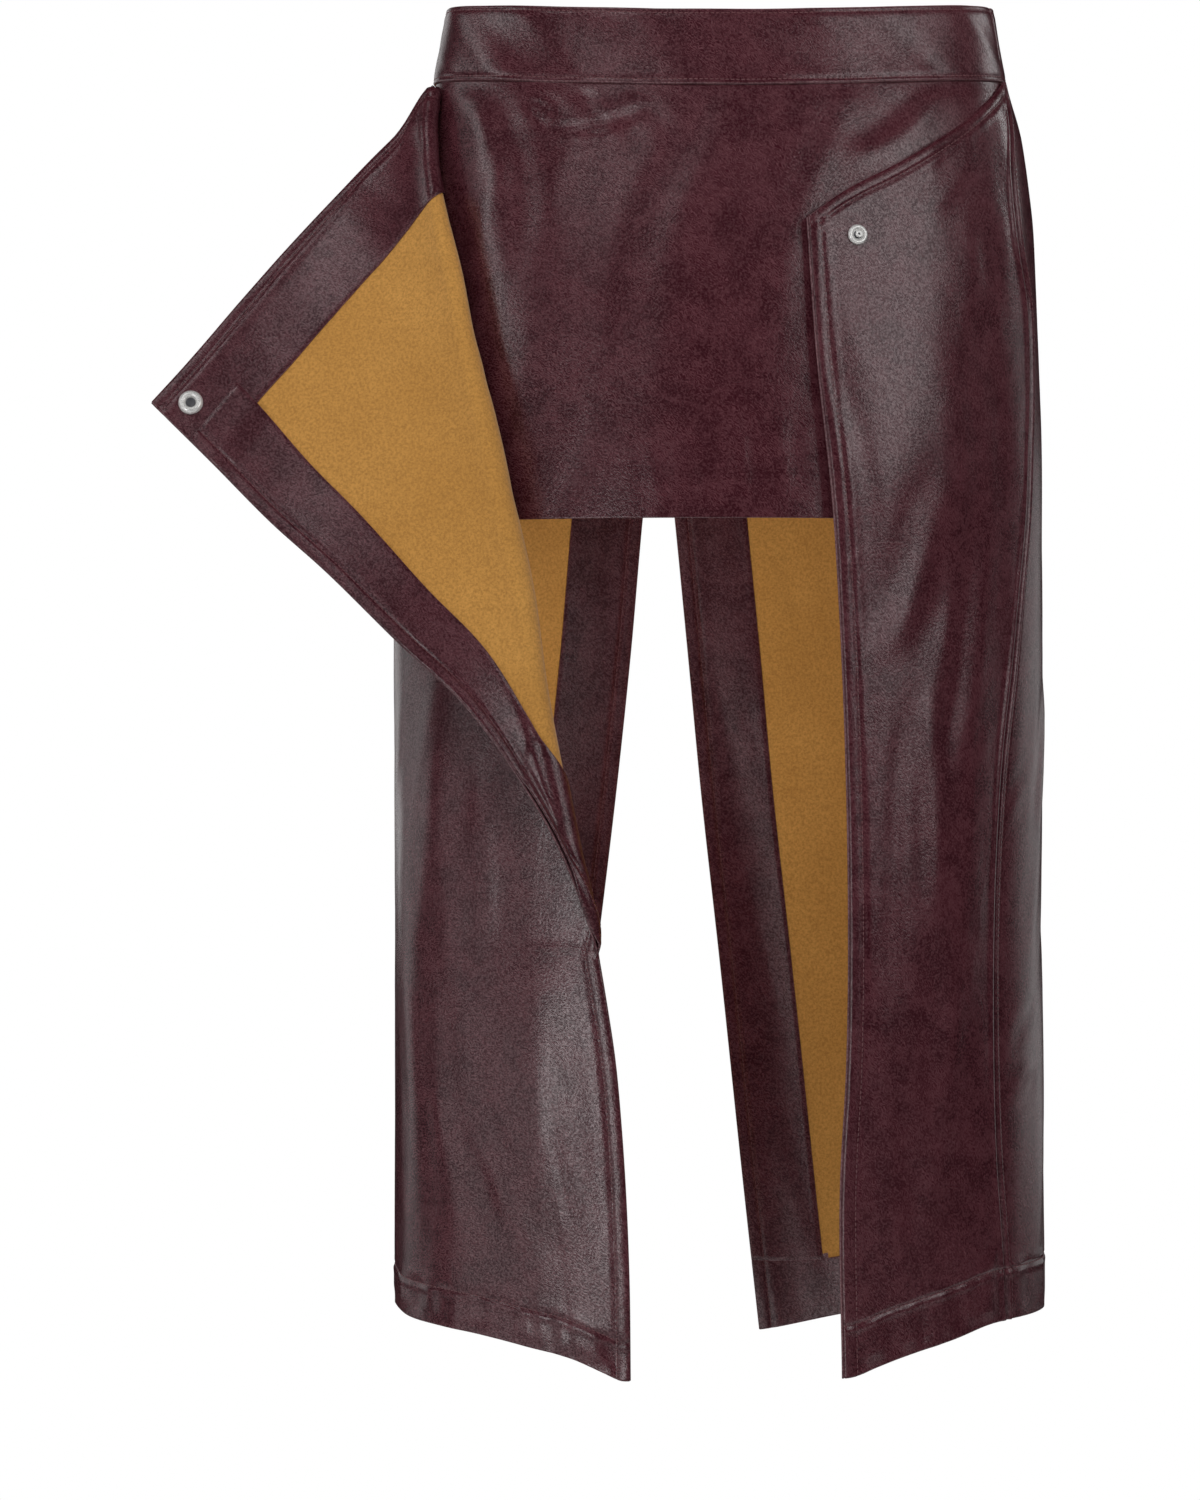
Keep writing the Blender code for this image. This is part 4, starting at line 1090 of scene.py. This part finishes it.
def left_row_hanging(share):
    """A row below the fold's end; share runs down to the hem."""
    side = FOLD_END_SIDE + (LEFT_HEM("height", LEFT_SEAM) - FOLD_END_SIDE) * share
    end = FOLD_END_HEIGHT + (LEFT_HEM("height", LEFT_CORNER) - FOLD_END_HEIGHT) * share
    end_angle = LEFT_EDGE("angle", end)
    t = np.linspace(0.0, 1.0, HANGING_POINTS)
    angle = LEFT_SEAM + (end_angle - LEFT_SEAM) * t
    above = FOLD_END_SIDE + (FOLD_END_HEIGHT - FOLD_END_SIDE) * t
    height = above + (LEFT_HEM("height", angle) - above) * share
    fold = fold_fade(t, FOLD_FADE_HANGING) * fold_lift("left_flap", angle, height)
    lift = panel_lift(height) + LEFT_EDGE("lift", end) * smooth(t)
    return on_form(angle, height, lift + fold), len(t), 0


LAPEL_LENGTH = 0.375          # along the free edge, down to the fold's end
LAPEL_COLUMNS = 44
ROLL_COLUMNS = 30
BODY_COLUMNS = 52
TOP_FACING_COLUMNS = 25       # of the roll's, that the top facing reaches over
LAP_ROWS = 6                  # over which the edge facing lies on the top facing
LAPEL_ROWS = 99
UNROLL_ROWS = 43
HANGING_ROWS = 63
HANGS_FADE = 0.02
HANGS_ROW = 24                # of the unrolling rows, where the creases come in
HANGS_ROWS = 20.0
CALM_REACH = 0.13             # height about the fold's end with little unevenness
CALM_WIDTH = 0.085            # from the free edge
CALM_FADE = 0.03
CALM_SHARE = 0.85
LAP_STEPS = np.linspace(0.8, 0.0, 5)[:, None]


def left_flap_columns(line, body, roll, facing):
    """Points of a row at set distances from its free edge: over the facing,
    the rest of the lapel, the roll and the body."""
    run = lengths(line, 0)
    total = run[-1]
    lapel_end = max(total - run[body - 1 + roll], facing + 0.012)
    body_start = max(total - run[body - 1], lapel_end + 0.018)
    distances = np.concatenate((
        graded(FACING_WIDTH, last=False) * facing / FACING_WIDTH,
        np.linspace(facing, lapel_end, LAPEL_COLUMNS + 1)[1:],
        np.linspace(lapel_end, body_start, ROLL_COLUMNS + 1)[1:],
        np.linspace(body_start, total, BODY_COLUMNS + 1)[1:]))
    place = total - distances
    return np.stack([np.interp(place, run, line[:, k]) for k in range(3)], -1), distances


# By how much of the roll's length the folded-out part is drawn down, at
# distances from the free edge: its top edge, and the top facing's end.
LAPEL_DRAWN = Table("distance top end", (
    (0.000, 0.0000, 0.0000),
    (0.030, 0.0015, 0.0000),
    (0.045, 0.0015, 0.0011),
    (0.080, 0.0000, 0.0068),
    (0.120, 0.0000, 0.0137),
    (0.160, 0.0033, 0.0202),
    (0.180, 0.0063, 0.0224),
    (0.196, 0.0088, 0.0221),
    (0.210, 0.0114, 0.0145),
    (0.221, 0.0143, 0.0000),
    (0.232, 0.0165, 0.0000),
    (0.240, 0.0136, 0.0000),
    (0.254, 0.0010, 0.0000),
    (0.258, 0.0000, 0.0000),
    (0.264, 0.0000, 0.0000),
    (0.300, 0.0000, 0.0000),
))
DRAWN_REACH = 0.20            # share of the roll below the facing over which it fades


def lowered(points, downs, distance):
    """Draw the rows about the top facing's end and the top edge down towards
    the roll, so that the facing ends in a straight line."""
    lower = points.copy()
    near = np.where(downs > TOP_FACING_END, 1.0 - smooth((downs - TOP_FACING_END) / DRAWN_REACH),
                    downs / TOP_FACING_END)
    above = np.maximum(1.0 - downs / TOP_FACING_END, 0.0)
    for row, down in enumerate(downs):
        drawn = near[row] * LAPEL_DRAWN("end", distance[row]) \
            + above[row] * LAPEL_DRAWN("top", distance[row])
        for column, at in enumerate(down + drawn):
            lower[row, column] = [np.interp(at, downs, points[:len(downs), column, k])
                                  for k in range(3)]
    return lower


def make_left_flap():
    below_edge = EDGE_PLACES / LAPEL_LENGTH
    top_rows = np.concatenate((
        below_edge,
        np.linspace(below_edge[-1], EDGE_FACING_START, LAP_ROWS)[1:],
        np.linspace(EDGE_FACING_START, TOP_FACING_END, LAP_ROWS + 1)[1:]))
    lapel_rows = np.linspace(TOP_FACING_END, UNROLL_FROM, LAPEL_ROWS + 1)[1:]
    unroll_rows = np.linspace(UNROLL_FROM, 1.0, UNROLL_ROWS + 1)[1:]
    downs = np.concatenate((top_rows, lapel_rows, unroll_rows))
    depth = HEM_DEPTH("left_flap", 0.0)
    hem_share = 1.0 - depth / (FOLD_END_HEIGHT - LEFT_HEM("height", LEFT_CORNER))
    hanging = np.linspace(0.0, hem_share, HANGING_ROWS + 1)[1:]
    hem_rows = hem_share + graded(depth)[1:] / (depth / (1.0 - hem_share))
    made = [left_row_folded(down) + (LAPEL("facing", down),) for down in downs]
    made += [left_row_hanging(share) + (LAPEL("facing", 1.0),)
             for share in np.concatenate((hanging, hem_rows))]
    points, distance = [np.array(part) for part in
                        zip(*[left_flap_columns(*row) for row in made])]
    points = pulled_in(lowered(points, downs, distance), last=SEAM_GAP / 2)
    facing = len(graded(FACING_WIDTH, last=False)) - 1
    top_end = len(top_rows) - 1
    unroll = top_end + LAPEL_ROWS
    hem_start = unroll + UNROLL_ROWS + HANGING_ROWS

    v = lengths(points, 0)
    from_seam = distance[:, -1:] - distance
    height = points[..., 2]
    # The creases keep to what hangs, past the roll or below the fold's end.
    past_roll = distance - distance[:, facing + LAPEL_COLUMNS:][:, :1]
    hangs = smooth(past_roll / HANGS_FADE)
    below = np.arange(len(points) - unroll)[:, None]
    hangs[unroll:] = np.maximum(hangs[unroll:], smooth((below - HANGS_ROW) / HANGS_ROWS))
    creases = crease_lift("left_flap", points[..., 0], height) * hangs
    calm = bell(height - FOLD_END_HEIGHT, CALM_REACH) \
        * smooth((CALM_WIDTH - distance) / CALM_FADE)
    base = with_relief(points, (soft_relief("left_flap", distance, v) + creases)
                       * smooth(from_seam / SEAM_FADE) * smooth(distance / EDGE_FADE)
                       * smooth(v / EDGE_FADE) * (1.0 - CALM_SHARE * calm))
    sewn = np.maximum(sewn_edge(distance, STITCH_FREE), sewn_edge(v, STITCH_TOP))
    hem_stitch = depth - HEM_STITCH
    sewn = sewn + puckers(v, distance, STITCH_FREE, 8) + puckers(distance, v, STITCH_TOP, 9) \
        + swells(from_seam, SEAM_SWELLS) + sewn_hem(distance, v[-1:] - v, hem_stitch, 10)
    outer = with_relief(base, sewn)
    last = facing + LAPEL_COLUMNS + TOP_FACING_COLUMNS
    covered = np.zeros(outer.shape[:2], bool)
    covered[:top_end + 1, :last + 1] = True
    covered[hem_start:] = True
    covered[:, :facing + 1] = True
    dress("left_flap", outer, WALL, OUTSIDE, TAN, covered)

    inside = lining(base, sewn_edge(v, STITCH_TOP))
    top_facing = inside[:top_end + 1, :last + 1]
    face_inside("left_flap_top_facing", top_facing)
    lap = np.zeros(points.shape[:2])
    lap[:top_end + 1] = TOP_OVERLAP_LIFT
    lap[top_end + 1:top_end + 1 + len(LAP_STEPS)] = TOP_OVERLAP_LIFT * LAP_STEPS
    lap[unroll - 4:unroll + UNROLL_ROWS] = UNROLL_EASE
    lapped = lining(base, sewn_edge(distance, STITCH_FREE), lap)
    edge_facing = lapped[top_end - LAP_ROWS:, :facing + 1]
    face_inside("left_flap_edge_facing", edge_facing)
    face_inside("left_flap_hem", pulled_in(inside[hem_start:, facing:-1], first=SEAM_GAP))
    rows, columns = points.shape[:2]
    thread_piece("left_flap_thread", [
        line_down(outer, WALL, 1, STITCH_FREE, STITCH_LINE, rows - 1),
        line_across(outer, WALL, 1, STITCH_TOP, STITCH_LINE, columns - 6),
        line_down(edge_facing, FACING_WALL, -1, STITCH_FREE, 1, len(edge_facing) - 1),
        line_across(top_facing, FACING_WALL, -1, STITCH_TOP, STITCH_LINE, last - 1),
        line_across(outer, WALL, 1, hem_stitch, STITCH_LINE, columns - 3, from_last=True)])
    return outer, top_facing


# ---------------------------------------------------------- press stud

SNAP_SIDES = 64
SNAP_CLEAR = 0.0002           # off the leather


def turned_rings(profile):
    """Vertices and faces of a turned profile of (radius, height, material)."""
    verts, faces, kinds = [], [], []
    angle = np.linspace(0.0, 2 * np.pi, SNAP_SIDES, endpoint=False)
    for radius, height, _ in profile:
        verts += [(radius * math.cos(a), radius * math.sin(a), height) for a in angle]
    for ring, (_, _, kind) in enumerate(profile[1:]):
        low, high = ring * SNAP_SIDES, (ring + 1) * SNAP_SIDES
        for k in range(SNAP_SIDES):
            m = (k + 1) % SNAP_SIDES
            faces.append((low + m, low + k, high + k, high + m))
            kinds.append(kind)
    return verts, faces, kinds


def snap(node, profile, points, wall, side, beside):
    """Seat a turned metal piece on a sheet, at the point nearest to beside."""
    out = normals(points) * side
    face = points + out * wall / 2
    gap = np.linalg.norm(face - np.array(beside), axis=-1)
    row, column = np.unravel_index(np.argmin(gap), gap.shape)
    normal = out[row, column]
    offset = np.array(beside) - face[row, column]
    place = face[row, column] + offset - normal * np.dot(offset, normal)
    verts, faces, kinds = turned_rings(profile)
    made = mesh_object(node + "_metal", verts, faces, (NICKEL, HOLLOW_SHADE_METAL), kinds)
    made.location = Vector(place + normal * SNAP_CLEAR)
    made.rotation_euler = Vector(normal).to_track_quat("Z", "Y").to_euler()
    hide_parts(node)
    settle(made)
    return place, normal


# radius, height, material: 0 nickel, 1 dark metal as painted shade in the hollows
STUD = (
    (0.0, 0.0031, 1), (0.0006, 0.0031, 1), (0.0008, 0.0038, 0), (0.0012, 0.0041, 0),
    (0.0019, 0.0040, 0), (0.0023, 0.0034, 0), (0.0021, 0.0026, 0), (0.0018, 0.0020, 0),
    (0.0019, 0.0012, 1), (0.0026, 0.0010, 1), (0.0033, 0.0012, 0), (0.0038, 0.0019, 0),
    (0.0046, 0.0021, 0), (0.0053, 0.0018, 0), (0.0058, 0.0011, 0), (0.0060, 0.0004, 0),
    (0.0058, 0.0, 0), (0.0, 0.0, 0))
BASE = (
    (0.0, 0.0009, 0), (0.0022, 0.0009, 0), (0.0030, 0.0013, 0), (0.0041, 0.0012, 0),
    (0.0048, 0.0008, 0), (0.0050, 0.0003, 0), (0.0048, 0.0, 0), (0.0, 0.0, 0))
SOCKET = (
    (0.0, 0.0006, 1), (0.0024, 0.0006, 1), (0.0030, 0.0009, 1), (0.0033, 0.0020, 0),
    (0.0038, 0.0029, 0), (0.0046, 0.0033, 0), (0.0056, 0.0032, 0), (0.0065, 0.0026, 0),
    (0.0072, 0.0015, 0), (0.0074, 0.0005, 0), (0.0072, 0.0, 0), (0.0, 0.0, 0))
CAP = (
    (0.0, 0.0026, 0), (0.0018, 0.00255, 0), (0.0034, 0.0023, 0), (0.0050, 0.0019, 0),
    (0.0062, 0.0012, 0), (0.0069, 0.0005, 0), (0.0070, 0.0001, 0), (0.0068, 0.0, 0),
    (0.0, 0.0, 0))


# -------------------------------------------------------- room and light

CAMERA_ACROSS = -0.0729
CAMERA_HEIGHT = -0.42
CAMERA_DISTANCE = 3.2         # from the skirt's middle plane, y = 0
SENSOR = 36.0                 # millimetres
PHOTO_HEIGHT = 1500.0         # pixels
PHOTO_SCALE = 1640.0          # pixels per metre in that plane
FLOOR_HEIGHT = -1.10
FLOOR_RADII = (0.6, 1.2, 1.45)
FLOOR_SIDES = 96
MIDDLE = (0.0, 0.0, -0.40)    # where the softboxes point

# Softboxes: azimuth from the front towards +X, height of the centre, level
# distance, width, height, turn about the line to the skirt, radiance, and
# whether gloss shows it. The inner one lights the inside of the back.
LIGHTS = (
    (47.0, 0.47, 2.4, 1.95, 0.72, 0.0, 2.05, 1),
    (40.0, -0.08, 2.4, 0.80, 0.35, 0.0, 2.30, 1),
    (-68.0, 0.36, 2.4, 1.30, 0.46, -35.0, 2.20, 1),
    (-27.0, 0.86, 2.4, 0.70, 0.50, 0.0, 1.40, 1),
    (-32.0, 2.20, 2.2, 1.10, 0.70, 0.0, 2.70, 1),
    (-28.0, -0.70, 2.4, 0.52, 0.56, 0.0, 2.80, 1),
    (-64.0, -0.88, 2.4, 1.90, 0.80, 0.0, 0.75, 1),
    (-118.0, -0.40, 2.4, 1.20, 1.30, 0.0, 0.72, 1),
    (127.0, -0.50, 2.2, 1.65, 0.80, 0.0, 0.65, 1),
    (180.0, 0.45, 2.4, 1.20, 1.00, 0.0, 1.30, 1),
    (-150.0, 0.10, 2.4, 0.90, 1.40, 0.0, 0.90, 1),
    (-92.0, 0.90, 2.4, 1.40, 0.44, 0.0, 1.30, 1),
    (-8.0, 0.80, 1.6, 1.20, 1.00, 0.0, 3.50, 0),
    (58.0, 0.85, 1.5, 0.90, 0.90, 0.0, 2.30, 0),
    (-60.0, -0.20, 2.6, 1.20, 1.20, 0.0, 0.90, 0),
    (172.0, 0.90, 2.4, 1.60, 1.40, 0.0, 2.60, 0),
    (-31.0, -0.70, 2.4, 0.96, 0.66, 0.0, 2.10, 1),
    (113.0, 0.62, 2.4, 0.30, 0.56, 0.0, 7.00, 1),
    (119.0, 0.05, 2.4, 0.14, 0.60, 0.0, 1.20, 1),
)
INNER_PLACE = (-0.04, -0.03, -0.35)
INNER_SIZE = (0.14, 0.20)
INNER_RADIANCE = 1.8


def area_light(place, towards, width, height, turn, radiance, gloss):
    light = bpy.data.lights.new("softbox", "AREA")
    light.shape = "RECTANGLE"
    light.size = width
    light.size_y = height
    light.energy = radiance * math.pi * width * height
    made = bpy.data.objects.new("softbox", light)
    facing = (Vector(towards) - Vector(place)).to_track_quat("-Z", "Y")
    made.location = place
    made.rotation_euler = (facing @ Quaternion((0.0, 0.0, 1.0), math.radians(turn))).to_euler()
    made.visible_camera = False
    made.visible_glossy = bool(gloss)
    bpy.context.scene.collection.objects.link(made)


def softbox(azimuth, rise, distance, width, height, turn, radiance, gloss):
    around = math.radians(azimuth)
    place = (distance * math.sin(around), -distance * math.cos(around), rise)
    area_light(place, MIDDLE, width, height, turn, radiance, gloss)


def make_camera():
    camera_data = bpy.data.cameras.new("camera")
    camera_data.sensor_fit = "VERTICAL"
    camera_data.sensor_height = SENSOR
    camera_data.lens = SENSOR * CAMERA_DISTANCE * PHOTO_SCALE / PHOTO_HEIGHT
    camera = bpy.data.objects.new("camera", camera_data)
    camera.location = (CAMERA_ACROSS, -CAMERA_DISTANCE, CAMERA_HEIGHT)
    camera.rotation_euler = (math.pi / 2, 0.0, 0.0)
    bpy.context.scene.collection.objects.link(camera)
    bpy.context.scene.camera = camera


def make_light():
    world = bpy.data.worlds.new("white_room")
    world.use_nodes = True
    backdrop = world.node_tree.nodes["Background"].inputs
    backdrop["Color"].default_value = (1.0, 1.0, 1.0, 1.0)
    backdrop["Strength"].default_value = 1.0
    world.cycles_visibility.glossy = False
    world.cycles_visibility.diffuse = False
    bpy.context.scene.world = world
    bpy.context.scene.view_settings.view_transform = "Standard"

    for values in LIGHTS:
        softbox(*values)
    x, y, z = INNER_PLACE
    area_light(INNER_PLACE, (x, y + 1.0, z), *INNER_SIZE, 0.0, INNER_RADIANCE, False)


def make_floor():
    """A pale disc of rings round a middle point."""
    verts, faces = [(0.0, 0.0, 0.0)], []
    for ring, radius in enumerate(FLOOR_RADII):
        low, high = 1 + (ring - 1) * FLOOR_SIDES, 1 + ring * FLOOR_SIDES
        for k in range(FLOOR_SIDES):
            turn = 2 * math.pi * k / FLOOR_SIDES
            verts.append((radius * math.cos(turn), radius * math.sin(turn), 0.0))
            m = (k + 1) % FLOOR_SIDES
            faces.append((low + k, high + k, high + m, low + m) if ring else (0, 1 + k, 1 + m))
    n = Nodes("pale_floor")
    cloud = n.noise(n.object_place(), 6.0, 3.0)
    n.shade(Base_Color=n.mix(cloud, (0.80, 0.80, 0.80, 1.0), (0.84, 0.84, 0.83, 1.0)),
            Roughness=0.7)
    floor = mesh_object("floor", verts, faces, (n.material,))
    floor.location = (0.0, 0.0, FLOOR_HEIGHT)


make_camera()
make_light()
make_floor()
make_band()
make_apron()
right_outer, right_inside = make_right_flap()
left_outer, left_inside = make_left_flap()
make_back("back_left", -1)
make_back("back_right", 1)
snap("snap_stud", STUD, right_outer, WALL, 1, STUD_BESIDE)
snap("snap_stud_base", BASE, right_inside, FACING_WALL, -1, STUD_BASE_BESIDE)
seat, facing_out = snap("snap_socket", SOCKET, left_inside, FACING_WALL, -1, SOCKET_BESIDE)
snap("snap_cap", CAP, left_outer, WALL, 1, seat - facing_out * CAP_BEHIND)
